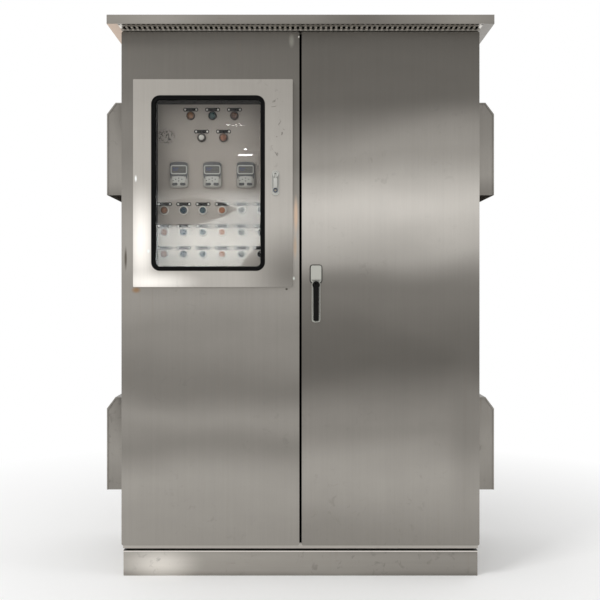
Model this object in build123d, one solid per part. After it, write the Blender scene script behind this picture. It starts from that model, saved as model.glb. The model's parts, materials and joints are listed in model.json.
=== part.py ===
from build123d import *
import math
import os

# Outdoor drive control cabinet of folded stainless sheet, in millimetres.
# The origin is the centre of the footprint on the floor, and the doors face -Y.

# Body
body_width = 1200.0
body_depth = 600.0
sheet = 2.0
fold_radius = 3.0
plinth_height = 86.0
plinth_sheet = 2.5
plinth_flange = 45.0
plinth_inset = 2.0
recess_height = 6.0
recess_inset = 12.0
base_strip_width = 40.0
lower_rail = 18.0
upper_rail = 12.0
frame_return = 18.0

# Main doors
door_height = 1720.0
door_thickness = 25.0
door_side_inset = 1.0
door_gap = 8.0
door_lip = 24.0
door_corner = 4.0
seal_gap = 5.0
seal_inset = 15.0
seal_width = 10.0
seal_landing = 3.0
seal_clearance = 0.3
hinge_heights = [240.0, 860.0, 1480.0]
hinge_inset_side = 9.0
hinge_inset_front = 11.0

# Rain roof
roof_side_overhang = 36.0
roof_end_overhang = 60.0
fascia_height = 30.0
fascia_drop = 4.0
roof_fall = 14.0
roof_clearance = 1.0
roof_post_side = 60.0
roof_post_inset = 90.0
slot_width = 9.0
slot_length = 30.0
slot_pitch = 17.0

# Window door over the control panel
window_door_width = 530.0
window_door_height = 690.0
window_door_thickness = 20.0
window_door_gap = 3.0
window_door_shift = 10.5
window_door_centre_z = 1320.0
window_door_lip = 14.0
window_width = 372.0
window_height = 577.0
window_radius = 26.0
window_shift = -16.0
gasket_width = 12.0
gasket_overlap = 3.0
gasket_front = 2.0
pane_thickness = 4.0
pane_grip = 6.0
pane_clearance = 0.2
pane_gap = 1.0
window_hinge_heights = [90.0, 580.0]
window_hinge_inset_side = 6.5
window_hinge_inset_back = 9.0

# Control box and control panel
box_margin = 18.0
box_clearance = 0.3
box_front = 12.0
panel_depth = 77.0
box_flange = 12.0
box_rear_flange = 6.0
panel_thickness = 3.0

# Lamps, buttons and selectors
device_radius = 14.5
head_sides = 16
bezel_height = 9.0
neck_side = 17.0
neck_clearance = 0.3
block_width = 28.0
block_height = 40.0
block_depth = 42.0
lens_radius = 12.6
lens_height = 6.0
cap_radius = 10.4
cap_length = 8.0
cap_well = 1.0
cap_proud = 5.0
cap_clearance = 0.05
knob_gap = 0.2
knob_radius = 11.0
selector_base = 4.0
selector_grip_width = 7.0
selector_grip_height = 11.0
speed_knob_height = 15.0
knob_mark_depth = 1.0
plate_width = 46.0
plate_height = 11.0
plate_thickness = 1.5
plate_rise = 21.5
lamp_pitch = 75.0
device_columns = 6
device_margin = 21.0
device_pitch_z = 75.0
phase_lamp_z = 1562.0
status_lamp_z = 1487.0
keypad_z = 1359.0
first_row_z = 1238.0
drive_count = 3

# Drive keypads
keypad_width = 65.0
keypad_height = 94.0
keypad_depth = 15.0
keypad_corner = 6.0
keypad_pitch = 114.0
screen_width = 48.0
screen_height = 26.0
screen_depth = 2.0
screen_recess = 1.0
membrane_height = 38.0
membrane_depth = 2.0
key_rise = 1.6

# Swing handle and its rods
handle_x = 52.0
handle_pivot_z = 982.0
handle_width = 29.0
handle_head_width = 36.0
handle_bottom = 125.0
handle_top = 65.0
handle_head_bottom = 8.0
handle_plate = 10.0
hub_radius = 12.5
hub_height = 12.0
spindle_radius = 6.95
spindle_clearance = 0.05
spindle_hole_gap = 1.0
spindle_square = 9.0
square_clearance = 0.05
lever_length = 120.0
lever_width = 17.0
lever_gap = 0.3
lever_shoulder_gap = 0.7
lever_tongue = 8.0
tongue_clearance = 0.3
hub_web = 1.5
pin_reach = 0.9
lever_pin_radius = 2.5
pin_clearance = 0.05
cover_height = 49.0
cover_thickness = 5.5
cover_pivot_drop = 6.0
cam_arm = 20.0
cam_thickness = 3.0
cam_gap = 2.0
cam_end_wall = 2.0
cam_pin_radius = 3.0
rod_width = 16.0
rod_thickness = 3.0
rod_clearance = 0.3
rod_gap = 0.5
rod_spacing = 1.0
yoke_wall = 4.0
yoke_play = 4.7
guide_height = 20.0
guide_wall = 5.0
guide_cover = 3.0
guide_heights = [0.14, 0.46]

# Slide bolts of the left door
bolt_side = 12.0
bolt_length = 130.0
bolt_clearance = 0.2
bolt_edge = 38.0
bolt_guide = 18.0
bolt_tail = 2.0
bolt_knob_side = 8.0
bolt_knob_length = 14.0

# Window door lock
lock_width = 26.0
lock_height = 84.0
lock_plate = 6.0
key_depth = 2.0
lock_gap = 38.0
lock_pivot_drop = 15.0
lock_hub_radius = 9.5
lock_hub_height = 10.0
lock_tongue = 6.0
lock_pin_radius = 1.5
lock_lever_length = 44.0
lock_lever_width = 13.0
lock_spindle_radius = 3.95
lock_cam_length = 26.0
lock_cam_width = 14.0
lock_cam_thickness = 2.5

# Hinges
arm_height = 10.0
main_pin_radius = 4.0
main_pin_length = 28.0
window_pin_radius = 3.0
window_pin_length = 20.0
hinge_clearance = 0.05
hinge_lift = 0.3
hinge_notch_margin = 2.0
hinge_base = 3.0
hinge_land = 1.0
knuckle_land = 2.0

# Side hoods and vents
hood_protrusion = 78.0
hood_height = 324.0
hood_depth = 320.0
hood_chamfer_x = 30.0
hood_chamfer_z = 40.0
hood_hem = 6.0
hood_hem_height = 1.5
hood_flange = 15.0
upper_hood_z = 1297.0
lower_hood_z = 266.0
vent_side = 190.0

# Fans and filters
fan_frame_side = 220.0
fan_frame_depth = 50.0
fan_bore_radius = 95.0
fan_blade_radius = 90.0
fan_hub_radius = 33.0
fan_hub_length = 26.0
fan_blades = 7
fan_blade_chord = 24.0
fan_blade_pitch = 40.0
fan_blade_root = 2.0
fan_boss_side = 50.0
fan_boss_length = 12.0
fan_strut_width = 9.0
fan_strut_thickness = 5.0
fan_shaft_radius = 4.0
fan_shaft_clearance = 0.05
fan_face_gap = 10.0
filter_side = 202.0
filter_thickness = 18.0
filter_clearance = 0.5
filter_wall = 2.0

# Mounting plate and what it carries
plate_gap = 28.0
plate_sheet = 3.0
plate_side_gap = 50.0
plate_end_gap = 50.0
plate_fold = 15.0
stud_radius = 5.0
stud_boss = 18.0
stud_inset = 40.0
stud_length = 10.0
stud_clearance = 0.4
stud_slot = 18.0
drive_width = 200.0
drive_height = 330.0
drive_depth = 190.0
drive_pitch = 300.0
drive_z = 1190.0
fin_depth = 60.0
fin_width = 8.0
fin_count = 6
breaker_width = 140.0
breaker_height = 260.0
breaker_depth = 95.0
breaker_inset = 98.0
breaker_z = 740.0
toggle_radius = 12.0
toggle_length = 26.0
toggle_width = 18.0
toggle_stem_height = 10.0
toggle_clearance = 0.4
duct_width = 40.0
duct_end_gap = 50.0
duct_height = 60.0
duct_heights = [1050.0, 1600.0, 620.0]
terminal_z = 420.0
terminal_count = 16
terminal_width = 40.0
terminal_height = 70.0
terminal_depth = 55.0
rail_height = 35.0
rail_depth = 8.0

# Fixings
base_bolt_radius = 5.0
base_bolt_inset = 28.0
base_bolt_clearance = 0.5
bolt_head_width = 17.0
bolt_head_height = 7.0
floor_hole_radius = 7.0
cable_entry_width = 500.0
cable_entry_depth = 120.0
cable_entry_y = 130.0

# Cuts run this far past a face
past = 1.0

# Levels and planes that follow from the sizes above
body_bottom = plinth_height + recess_height
door_bottom = body_bottom + lower_rail
door_top = door_bottom + door_height
body_top = door_top + upper_rail
half_width = body_width / 2
door_front = -body_depth / 2
door_back = door_front + door_thickness
body_front = door_back + seal_gap
body_back = body_depth / 2
door_width = (body_width - door_gap) / 2 - door_side_inset
door_outer = half_width - door_side_inset
door_centre = door_outer - door_width / 2
seal_reach = seal_inset + seal_width + seal_landing
roof_bottom = body_top - fascia_drop

window_door_back = door_front - window_door_gap
window_door_front = window_door_back - window_door_thickness
window_door_x = -door_centre + window_door_shift
window_x = window_door_x + window_shift
window_z = window_door_centre_z
skin_back = window_door_front + sheet

panel_front = door_front + panel_depth
panel_x = -door_centre
box_width = window_width + 2 * box_margin
box_height = window_height + 2 * box_margin
device_pitch_x = (window_width - 2 * device_margin) / (device_columns - 1)

plate_back = body_back - sheet - plate_gap
plate_front = plate_back - plate_sheet
plate_half = half_width - sheet - plate_side_gap
breaker_x = -plate_half + breaker_inset + breaker_width / 2


def block(x0, x1, y0, y1, z0, z1):
    # A box between two corners
    centre = ((x0 + x1) / 2, (y0 + y1) / 2, (z0 + z1) / 2)
    return Pos(*centre) * Box(abs(x1 - x0), abs(y1 - y0), abs(z1 - z0))


def around(x, z, width, height, y0, y1):
    # A box of this width and height about a point of the front, between two planes
    return block(x - width / 2, x + width / 2, y0, y1, z - height / 2, z + height / 2)


def slab(x, z, width, height, radius, y0, y1):
    # A plate with rounded corners that faces the front, between two planes
    plane = Plane(origin=(x, y1, z), x_dir=(1, 0, 0), z_dir=(0, -1, 0))
    return extrude(plane * RectangleRounded(width, height, radius), y1 - y0)


def rod_y(x, z, radius, y0, y1):
    # A round rod along Y
    return Pos(x, (y0 + y1) / 2, z) * Rot(90, 0, 0) * Cylinder(radius, y1 - y0)


def rod_z(x, y, radius, z0, z1):
    # An upright round rod
    return Pos(x, y, (z0 + z1) / 2) * Cylinder(radius, z1 - z0)


def rod_x(y, z, radius, x0, x1):
    # A round rod across the cabinet
    return Pos((x0 + x1) / 2, y, z) * Rot(0, 90, 0) * Cylinder(radius, abs(x1 - x0))


def prism_y(x, z, radius, y0, y1):
    # A round head with few flats, because the cabinet holds dozens of them
    plane = Plane(origin=(x, y1, z), x_dir=(1, 0, 0), z_dir=(0, -1, 0))
    return extrude(plane * RegularPolygon(radius, head_sides), y1 - y0)


def cut_slab(x, z, width, height, corner, y0, y1):
    # A plate with its corners cut off
    plane = Plane(origin=(x, y1, z), x_dir=(1, 0, 0), z_dir=(0, -1, 0))
    outline = Rectangle(width, height)
    return extrude(plane * chamfer(outline.vertices(), corner), y1 - y0)


def square_z(x, y, side, z0, z1):
    # An upright square bar
    half = side / 2
    return block(x - half, x + half, y - half, y + half, z0, z1)


def ring(x, z, width, height, band, y0, y1):
    # A rectangular strip about an opening, with its outer size and its width
    hole = around(x, z, width - 2 * band, height - 2 * band, y0 - past, y1 + past)
    return around(x, z, width, height, y0, y1) - hole


# Plinth: a welded channel frame with holes for the floor anchors and the base bolts
def plinth_ring(inset, z0, z1):
    outer = half_width - plinth_inset - inset
    return block(-outer, outer, body_front + inset, body_back - plinth_inset - inset, z0, z1)


def bolt_points():
    across = half_width - plinth_inset - base_bolt_inset
    front = body_front + base_bolt_inset
    back = body_back - plinth_inset - base_bolt_inset
    return [(x, y) for x in (-across, across) for y in (front, back)]


def bolt_hole_side():
    return 2 * (base_bolt_radius + base_bolt_clearance)


def make_plinth():
    shape = plinth_ring(0, 0, plinth_height)
    shape -= plinth_ring(plinth_sheet, plinth_sheet, plinth_height - plinth_sheet)
    shape -= plinth_ring(plinth_flange, -past, plinth_height + past)
    for x, y in bolt_points():
        shape -= rod_z(x, y, floor_hole_radius, -past, plinth_sheet + past)
        top = plinth_height - plinth_sheet
        shape -= square_z(x, y, bolt_hole_side(), top - past, plinth_height + past)
    return shape


# Base bolts: hexagon heads on the cabinet floor, nuts under the plinth's top flange
def hexagon(x, y, z0, height):
    return Pos(x, y, z0) * extrude(RegularPolygon(bolt_head_width / 2, 6, major_radius=False), height)


def make_base_bolts():
    bolts = []
    head_z = body_bottom + sheet
    nut_z = plinth_height - plinth_sheet - bolt_head_height
    for x, y in bolt_points():
        shank = square_z(x, y, 2 * base_bolt_radius, nut_z + bolt_head_height, head_z)
        bolts.append(hexagon(x, y, head_z, bolt_head_height) + shank + hexagon(x, y, nut_z, bolt_head_height))
    return bolts


# Carcass: sides, back, floor, top and door frame welded into one shell
def hood_centres():
    # Side, hood bottom and vent centre height of each side hood
    levels = (upper_hood_z, lower_hood_z)
    return [(side, z, z + hood_height / 2) for side in (-1, 1) for z in levels]


def stud_points():
    across = plate_half - stud_inset
    low = body_bottom + plate_end_gap + stud_inset
    high = body_top - plate_end_gap - stud_inset
    return [(x, z) for x in (-across, across) for z in (low, high)]


def filter_pocket(side, z):
    # The channel that holds a filter mat against the inside of a vent
    wall = half_width - sheet
    inner = filter_side + 2 * filter_clearance
    outer = inner + 2 * filter_wall
    depth = filter_thickness + filter_clearance
    x0, x1 = side * wall, side * (wall - depth - filter_wall)
    shape = block(x0, x1, -outer / 2, outer / 2, z - outer / 2, z + outer / 2)
    shape -= block(x0, side * (wall - depth), -inner / 2, inner / 2, z - inner / 2, z + inner / 2)
    return shape - block(x0, x1, -vent_side / 2, vent_side / 2, z - vent_side / 2, z + vent_side / 2)


def make_carcass():
    middle_z = (body_bottom + body_top) / 2
    height = body_top - body_bottom
    outer = block(-half_width, half_width, body_front, body_back, body_bottom, body_top)
    outer = fillet(outer.edges().filter_by(Axis.Z), fold_radius)
    inner_front = body_front + sheet
    inside = (body_width - 2 * sheet, height - 2 * sheet)
    shape = outer - around(0, middle_z, *inside, inner_front, body_back - sheet)

    # Door openings, with a return fold round each that turns the rain away
    low = door_bottom + seal_reach
    high = door_top - seal_reach
    far = door_outer - seal_reach
    near = door_gap / 2 + seal_reach
    for side in (-1, 1):
        x = side * (far + near) / 2
        z = (low + high) / 2
        shape += ring(x, z, far - near + 2 * sheet, high - low + 2 * sheet, sheet,
                      inner_front, inner_front + frame_return)
        shape -= around(x, z, far - near, high - low, body_front - past, inner_front + frame_return + past)

    # Vent cut-outs, and the pockets of the intake filters below
    for side, bottom, centre in hood_centres():
        cut = (-vent_side / 2, vent_side / 2, centre - vent_side / 2, centre + vent_side / 2)
        shape -= block(side * (half_width - 2 * sheet), side * (half_width + past), *cut)
        if bottom == lower_hood_z:
            shape += filter_pocket(side, centre)

    # Strips under the floor that stand on the plinth and leave the dark recess
    strip = half_width - recess_inset
    front, back = body_front + recess_inset, body_back - recess_inset
    strips = block(-strip, strip, front, back, plinth_height, body_bottom)
    inset = base_strip_width
    hole = block(-strip + inset, strip - inset, front + inset, back - inset,
                 plinth_height - past, body_bottom + past)
    shape += strips - hole
    for x, y in bolt_points():
        shape -= square_z(x, y, bolt_hole_side(), plinth_height - past, body_bottom + sheet + past)
    entry = (cable_entry_y - cable_entry_depth / 2, cable_entry_y + cable_entry_depth / 2)
    shape -= block(-cable_entry_width / 2, cable_entry_width / 2, *entry,
                   plinth_height - past, body_bottom + sheet + past)

    # Welded studs with spacers for the mounting plate
    for x, z in stud_points():
        shape += around(x, z, stud_boss, stud_boss, plate_back, body_back - sheet)
        shape += rod_y(x, z, stud_radius, plate_front - stud_length, plate_back)
    return shape


# Rain roof: a folded tray that slopes to the back, with a slotted soffit in front
def roof_profile(inset, x0, x1):
    front = door_front - roof_end_overhang + inset
    back = -door_front + roof_end_overhang - inset
    low = roof_bottom + inset
    high = roof_bottom + fascia_height - inset
    outline = Polyline((front, low), (front, high), (back, high - roof_fall), (back, low), close=True)
    face = Plane.YZ.offset(x0) * make_face(outline)
    return extrude(face, x1 - x0)


def make_roof():
    half = half_width + roof_side_overhang
    shape = roof_profile(0, -half, half)
    hollow = roof_profile(sheet, -half + sheet, half - sheet)
    shape -= hollow
    clear = roof_clearance
    opening = block(-half_width - clear, half_width + clear, body_front - clear, body_back + clear,
                    roof_bottom - past, roof_bottom + sheet + past)
    shape -= opening

    # Warm air leaves through the row of slots in the soffit
    soffit_front = door_front - roof_end_overhang
    centre_y = (soffit_front + body_front) / 2
    count = int(body_width / slot_pitch)
    with BuildSketch(Plane.XY.offset(roof_bottom - past)) as slots:
        with Locations((0, centre_y)):
            with GridLocations(slot_pitch, 1, count, 1):
                Rectangle(slot_width, slot_length)
    shape -= extrude(slots.sketch, sheet + 2 * past)

    # Four welded posts carry the roof on the cabinet's top
    half_post = roof_post_side / 2
    for x in (-half_width + roof_post_inset, half_width - roof_post_inset):
        for y in (body_front + roof_post_inset, body_back - roof_post_inset):
            post = block(x - half_post, x + half_post, y - half_post, y + half_post,
                         body_top, body_top + fascia_height)
            shape += post & hollow
    return shape


# Hinges: an L-shaped arm with an upright pin, and a bored block on the door
def hinge_arm(x, y, z, seat, half, pin_radius, pin_length):
    shape = block(x - half, x + half, y - half, seat, z - arm_height, z)
    shape += block(x - half, x + half, seat - hinge_base, seat, z, z + pin_length)
    return shape + rod_z(x, y, pin_radius, z, z + pin_length)


def hinge_knuckle(x, y, z, skin, half, pin_radius, pin_length):
    shape = block(x - half, x + half, skin, y + half, z + hinge_lift, z + pin_length)
    return shape - rod_z(x, y, pin_radius + hinge_clearance, z, z + pin_length + past)


def hinge_notch(x, z, outward, edge, skin, back, half, pin_length):
    margin = hinge_notch_margin
    return block(edge + outward, x - outward * (half + margin), skin, back + past,
                 z - arm_height - margin, z + pin_length + margin)


def main_hinge_points(side):
    x = side * (door_outer - hinge_inset_side)
    y = door_front + hinge_inset_front
    return [(x, y, door_bottom + height) for height in hinge_heights]


def main_hinge_half():
    return main_pin_radius + hinge_land


def make_door_hinge_pins():
    arms = []
    for side in (-1, 1):
        for x, y, z in main_hinge_points(side):
            arms.append(hinge_arm(x, y, z, body_front, main_hinge_half(), main_pin_radius, main_pin_length))
    return arms


# Side hoods: folded covers with a slanted top, open below for the air
def hood_profile(side, bottom, inset, low_inset, y0, y1):
    wall = half_width
    reach = wall + hood_protrusion - inset
    top = bottom + hood_height - inset
    shoulder = top - hood_chamfer_z + inset / 2
    neck = reach - hood_chamfer_x + inset / 2
    low = bottom + low_inset
    points = [(wall, low), (reach, low), (reach, shoulder), (neck, top), (wall, top)]
    outline = Polyline(*[(side * x, z) for x, z in points], close=True)
    plane = Plane(origin=(0, y1, 0), x_dir=(1, 0, 0), z_dir=(0, -1, 0))
    return extrude(plane * make_face(outline), y1 - y0)


def make_hood(side, bottom):
    half = hood_depth / 2
    cheek = sheet + hood_hem_height
    shape = hood_profile(side, bottom, 0, 0, -half, half)
    shape -= hood_profile(side, bottom, sheet, -1, -half + cheek, half - cheek)
    for y0, y1 in ((-half - past, -half + hood_hem_height), (half - hood_hem_height, half + past)):
        shape -= hood_profile(side, bottom, hood_hem, -1, y0, y1)

    # Inner flange that is riveted to the cabinet's side
    wall = half_width
    top = bottom + hood_height
    inner = half - cheek
    flange = block(side * wall, side * (wall + sheet), -inner, inner, bottom, top - sheet)
    lip = hood_flange
    flange -= block(side * (wall - past), side * (wall + sheet + past), -inner + lip, inner - lip,
                    bottom - past, top - sheet - lip)
    return shape + flange


# Fans behind the upper hoods
def make_fan_housing(side, z):
    wall = half_width - sheet
    half = fan_frame_side / 2
    inner = wall - fan_frame_depth
    shape = block(side * wall, side * inner, -half, half, z - half, z + half)
    shape -= rod_x(0, z, fan_bore_radius, side * (wall + past), side * (inner - past))
    strut_x = (side * inner, side * (inner + fan_strut_thickness))
    bar = fan_bore_radius + past
    wide = fan_strut_width / 2
    shape += block(*strut_x, -bar, bar, z - wide, z + wide)
    shape += block(*strut_x, -wide, wide, z - bar, z + bar)
    boss_x = side * (inner + fan_boss_length)
    boss = fan_boss_side / 2
    shape += block(side * inner, boss_x, -boss, boss, z - boss, z + boss)
    bore = fan_shaft_radius + fan_shaft_clearance
    return shape - rod_x(0, z, bore, side * (inner - past), boss_x + side * past)


def make_fan_rotor(side, z):
    wall = half_width - sheet
    inner = wall - fan_frame_depth
    hub_outer = side * (wall - fan_face_gap)
    hub_inner = side * (wall - fan_face_gap - fan_hub_length)
    shape = rod_x(0, z, fan_hub_radius, hub_inner, hub_outer)
    shape += rod_x(0, z, fan_shaft_radius, side * inner, hub_inner)
    centre = side * (wall - fan_face_gap - fan_hub_length / 2)
    span = fan_blade_radius - fan_hub_radius + fan_blade_root
    blade = Rot(0, 0, fan_blade_pitch) * Box(fan_blade_chord, sheet, span)
    blade = Pos(0, 0, fan_blade_radius - span / 2) * blade
    for index in range(fan_blades):
        shape += Pos(centre, 0, z) * Rot(index * 360 / fan_blades, 0, 0) * blade
    return shape


def make_filter_mat(side, z):
    wall = half_width - sheet
    half = filter_side / 2
    return block(side * wall, side * (wall - filter_thickness), -half, half, z - half, z + half)


# Mounting plate and the gear on it
def make_mounting_plate():
    half = plate_half
    low = body_bottom + plate_end_gap
    high = body_top - plate_end_gap
    shape = block(-half, half, plate_front, plate_back, low, high)
    for side in (-1, 1):
        fold_back = plate_back + plate_fold
        shape += block(side * half, side * (half - plate_sheet), plate_back, fold_back, low, high)
    for x, z in stud_points():
        shape -= around(x, z, 2 * (stud_radius + stud_clearance), stud_slot,
                        plate_front - past, plate_back + past)
    return shape


def make_drive(x):
    front = plate_front - drive_depth
    cover_back = plate_front - fin_depth
    shape = around(x, drive_z + drive_height / 2, drive_width, drive_height, front, plate_front)
    shape = chamfer(shape.faces().sort_by(Axis.Y)[0].edges(), drive_width / 16)
    pitch = drive_width / fin_count
    for index in range(fin_count):
        fin_x = x - drive_width / 2 + pitch * (index + 0.5)
        shape -= block(fin_x - fin_width, fin_x + fin_width, cover_back + sheet, plate_front - sheet,
                       drive_z - past, drive_z + drive_height + past)
    return shape


def breaker_pivot():
    front = plate_front - breaker_depth
    return front + toggle_radius / 4, breaker_z + breaker_height / 2


def make_main_breaker():
    y, z = breaker_pivot()
    front = plate_front - breaker_depth
    shape = around(breaker_x, z, breaker_width, breaker_height, front, plate_front)
    slot = toggle_width + 2 * toggle_clearance
    return shape - rod_x(y, z, toggle_radius + toggle_clearance, breaker_x - slot / 2, breaker_x + slot / 2)


def make_breaker_toggle():
    y, z = breaker_pivot()
    half = toggle_width / 2
    shape = rod_x(y, z, toggle_radius, breaker_x - half, breaker_x + half)
    stem = toggle_width / 4
    front = y - toggle_length
    return shape + block(breaker_x - stem, breaker_x + stem, front, y, z, z + toggle_stem_height)


def make_terminal_blocks():
    total = terminal_count * terminal_width
    rail_front = plate_front - rail_depth
    rail = around(0, terminal_z, total + 2 * terminal_width, rail_height, rail_front, plate_front)
    comb = around(0, terminal_z, total, terminal_height, plate_front - terminal_depth, rail_front)
    for index in range(terminal_count - 1):
        x = -total / 2 + terminal_width * (index + 1)
        comb -= around(x, terminal_z, sheet, terminal_height + 2 * past,
                       plate_front - terminal_depth - past,
                       plate_front - terminal_depth / 2)
    return rail + comb


def make_wiring_ducts():
    half = plate_half - duct_end_gap
    front = plate_front - duct_height
    return [around(0, z, 2 * half, duct_width, front, plate_front) for z in duct_heights]


# Folded door tray: a skin, four flanges and the lips of the flanges
def door_tray(x, z, width, height, front, back, lip, corner):
    shape = cut_slab(x, z, width, height, corner, front, back)
    shape -= around(x, z, width - 2 * sheet, height - 2 * sheet, front + sheet, back - sheet)
    return shape - around(x, z, width - 2 * lip, height - 2 * lip, back - sheet - past, back + past)


def make_main_door(side):
    z = door_bottom + door_height / 2
    shape = door_tray(side * door_centre, z, door_width, door_height, door_front, door_back,
                      door_lip, door_corner)
    skin = door_front + sheet
    half = main_hinge_half()
    for hinge_x, hinge_y, hinge_z in main_hinge_points(side):
        shape -= hinge_notch(hinge_x, hinge_z, side, side * door_outer, skin, door_back, half,
                             main_pin_length)
        shape += hinge_knuckle(hinge_x, hinge_y, hinge_z, skin, half + knuckle_land, main_pin_radius,
                               main_pin_length)
    return shape


def make_door_seal(side):
    z = door_bottom + door_height / 2
    inset = 2 * seal_inset
    return ring(side * door_centre, z, door_width - inset, door_height - inset, seal_width,
                door_back, body_front - seal_clearance)


# Left door: cut out for the control box, with the guides of its slide bolts
def bolt_place(end):
    # X, Y and the outer end of a slide bolt; end is 1 at the top and -1 at the bottom
    tip = door_top if end > 0 else door_bottom
    return -door_gap / 2 - bolt_edge, door_front + 2 * sheet + bolt_side / 2, tip


def bolt_guide_at(end, start):
    x, y, tip = bolt_place(end)
    wide = bolt_side / 2 + 2 * sheet
    z0 = tip - end * start
    z1 = z0 - end * bolt_guide
    guide = block(x - wide, x + wide, door_front + sheet, y + wide, z0, z1)
    return guide - square_z(x, y, bolt_side + 2 * bolt_clearance, z0 + end, z1 - end)


def make_left_door():
    shape = make_main_door(-1)
    gap = 2 * box_clearance
    shape -= around(window_x, window_z, box_width + gap, box_height + gap,
                    door_front - past, door_front + sheet + past)
    for end in (-1, 1):
        x, y, tip = bolt_place(end)
        shape -= square_z(x, y, bolt_side + 2 * bolt_clearance, tip + end, tip - 2 * end * sheet)
        shape += bolt_guide_at(end, door_lip) + bolt_guide_at(end, bolt_length - bolt_guide - bolt_tail)
    return shape


def make_slide_bolt(end):
    x, y, tip = bolt_place(end)
    tail = tip - end * bolt_length
    shape = square_z(x, y, bolt_side, tail, tip)
    knob_z = tip - end * bolt_length / 2
    return shape + around(x, knob_z, bolt_knob_side, bolt_knob_side, y, y + bolt_knob_length)


# Window door: a small tray with a window, which laps over the control box
def window_hinge_points():
    x = window_door_x - window_door_width / 2 + window_hinge_inset_side
    y = window_door_back - window_hinge_inset_back
    low = window_door_centre_z - window_door_height / 2
    return [(x, y, low + height) for height in window_hinge_heights]


def window_hinge_half():
    return window_pin_radius + hinge_land


def lock_place():
    x = window_x + window_width / 2 + lock_gap
    return x, window_z + lock_height / 2 - lock_pivot_drop


def make_window_door():
    z = window_door_centre_z
    shape = door_tray(window_door_x, z, window_door_width, window_door_height,
                      window_door_front, window_door_back, window_door_lip, sheet)
    shape -= slab(window_x, window_z, window_width, window_height, window_radius,
                  window_door_front - past, skin_back + past)
    half = window_hinge_half()
    edge = window_door_x - window_door_width / 2
    for hinge_x, hinge_y, hinge_z in window_hinge_points():
        shape -= hinge_notch(hinge_x, hinge_z, -1, edge, skin_back, window_door_back, half,
                             window_pin_length)
        shape += hinge_knuckle(hinge_x, hinge_y, hinge_z, skin_back, half + hinge_land, window_pin_radius,
                               window_pin_length)
    lock_x, lock_z = lock_place()
    return shape - rod_y(lock_x, lock_z, lock_spindle_radius + spindle_hole_gap,
                         window_door_front - past, skin_back + past)


def make_window_hinge_pins():
    return [hinge_arm(x, y, z, door_front, window_hinge_half(), window_pin_radius, window_pin_length)
            for x, y, z in window_hinge_points()]


def window_slab(grow, y0, y1):
    return slab(window_x, window_z, window_width + 2 * grow, window_height + 2 * grow,
                window_radius + grow, y0, y1)


def pane_planes():
    front = skin_back + pane_gap
    return front, front + pane_thickness


def make_window_gasket():
    front, back = pane_planes()
    bead = back + sheet
    shape = window_slab(gasket_overlap, window_door_front - gasket_front, window_door_front)
    shape += window_slab(0, window_door_front, skin_back)
    shape += window_slab(gasket_overlap, skin_back, bead)
    shape -= window_slab(-gasket_width, window_door_front - gasket_front - past, bead + past)
    return shape - window_slab(-gasket_width + pane_grip, front, back)


def make_window_pane():
    front, back = pane_planes()
    return window_slab(-gasket_width + pane_grip - pane_clearance, front, back)


# Control box: a collar through the left door, with flanges for the door and the panel
def make_control_box():
    front = door_front - box_front
    skin = door_front + sheet
    shape = around(window_x, window_z, box_width, box_height, front, panel_front)
    shape += around(window_x, window_z, box_width + 2 * box_flange, box_height + 2 * box_flange,
                    skin, skin + sheet)
    shape -= around(window_x, window_z, box_width - 2 * sheet, box_height - 2 * sheet, front - past,
                    panel_front - sheet)
    inner = 2 * (sheet + box_rear_flange)
    return shape - around(window_x, window_z, box_width - inner, box_height - inner,
                          front, panel_front + past)


# Places of the lamps, buttons and selectors on the control panel
def phase_lamps():
    return [(panel_x + lamp_pitch * step, phase_lamp_z) for step in (-1, 0, 1)]


def status_lamps():
    return [(panel_x + lamp_pitch * step, status_lamp_z) for step in (-0.5, 0.5)]


def device_column(column):
    x = panel_x + device_pitch_x * (column - (device_columns - 1) / 2)
    return [(x, first_row_z - device_pitch_z * row) for row in range(drive_count)]


def lamp_places():
    return phase_lamps() + status_lamps() + device_column(0) + device_column(1)


def switch_places():
    return device_column(2) + device_column(3) + device_column(4) + device_column(5)


def make_control_panel():
    shape = around(window_x, window_z, box_width, box_height, panel_front, panel_front + panel_thickness)
    hole = neck_side + 2 * neck_clearance
    for x, z in lamp_places() + switch_places():
        shape -= around(x, z, hole, hole, panel_front - past, panel_front + panel_thickness + past)
    return shape


def device_body(x, z):
    # A round bezel, a square neck through the panel and a contact block behind it
    back = panel_front + panel_thickness
    shape = prism_y(x, z, device_radius, panel_front - bezel_height, panel_front)
    shape += around(x, z, neck_side, neck_side, panel_front, back)
    return shape + around(x, z, block_width, block_height, back, back + block_depth)


def make_switch_bodies():
    bodies = []
    for x, z in device_column(2) + device_column(3):
        well_front = panel_front - bezel_height - past
        well = prism_y(x, z, cap_radius + cap_clearance, well_front, panel_front - cap_well)
        bodies.append(device_body(x, z) - well)
    for x, z in device_column(4) + device_column(5):
        bodies.append(device_body(x, z))
    return bodies


def make_lens(x, z):
    front = panel_front - bezel_height
    return prism_y(x, z, lens_radius, front - lens_height, front)


def make_button(x, z):
    front = panel_front - bezel_height - cap_proud
    return prism_y(x, z, cap_radius, front, front + cap_length)


def make_selector(x, z):
    back = panel_front - bezel_height - knob_gap
    shape = prism_y(x, z, knob_radius, back - selector_base, back)
    grip_front = back - selector_base - selector_grip_height
    return shape + around(x, z, selector_grip_width, 2 * knob_radius, grip_front, back - selector_base / 2)


def make_speed_knob(x, z):
    back = panel_front - bezel_height - knob_gap
    shape = prism_y(x, z, knob_radius, back - speed_knob_height, back)
    mark = around(x, z + knob_radius * 0.7, sheet / 2, knob_radius * 0.8, back - speed_knob_height - past,
                  back - speed_knob_height + knob_mark_depth)
    return shape - mark


def make_legend_plate(x, z):
    return around(x, z + plate_rise, plate_width, plate_height, panel_front - plate_thickness, panel_front)


# Keypads: a housing, a screen and a one-piece membrane with raised keys
def keypad_places():
    return [(panel_x + keypad_pitch * step, keypad_z) for step in (-1, 0, 1)]


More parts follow.
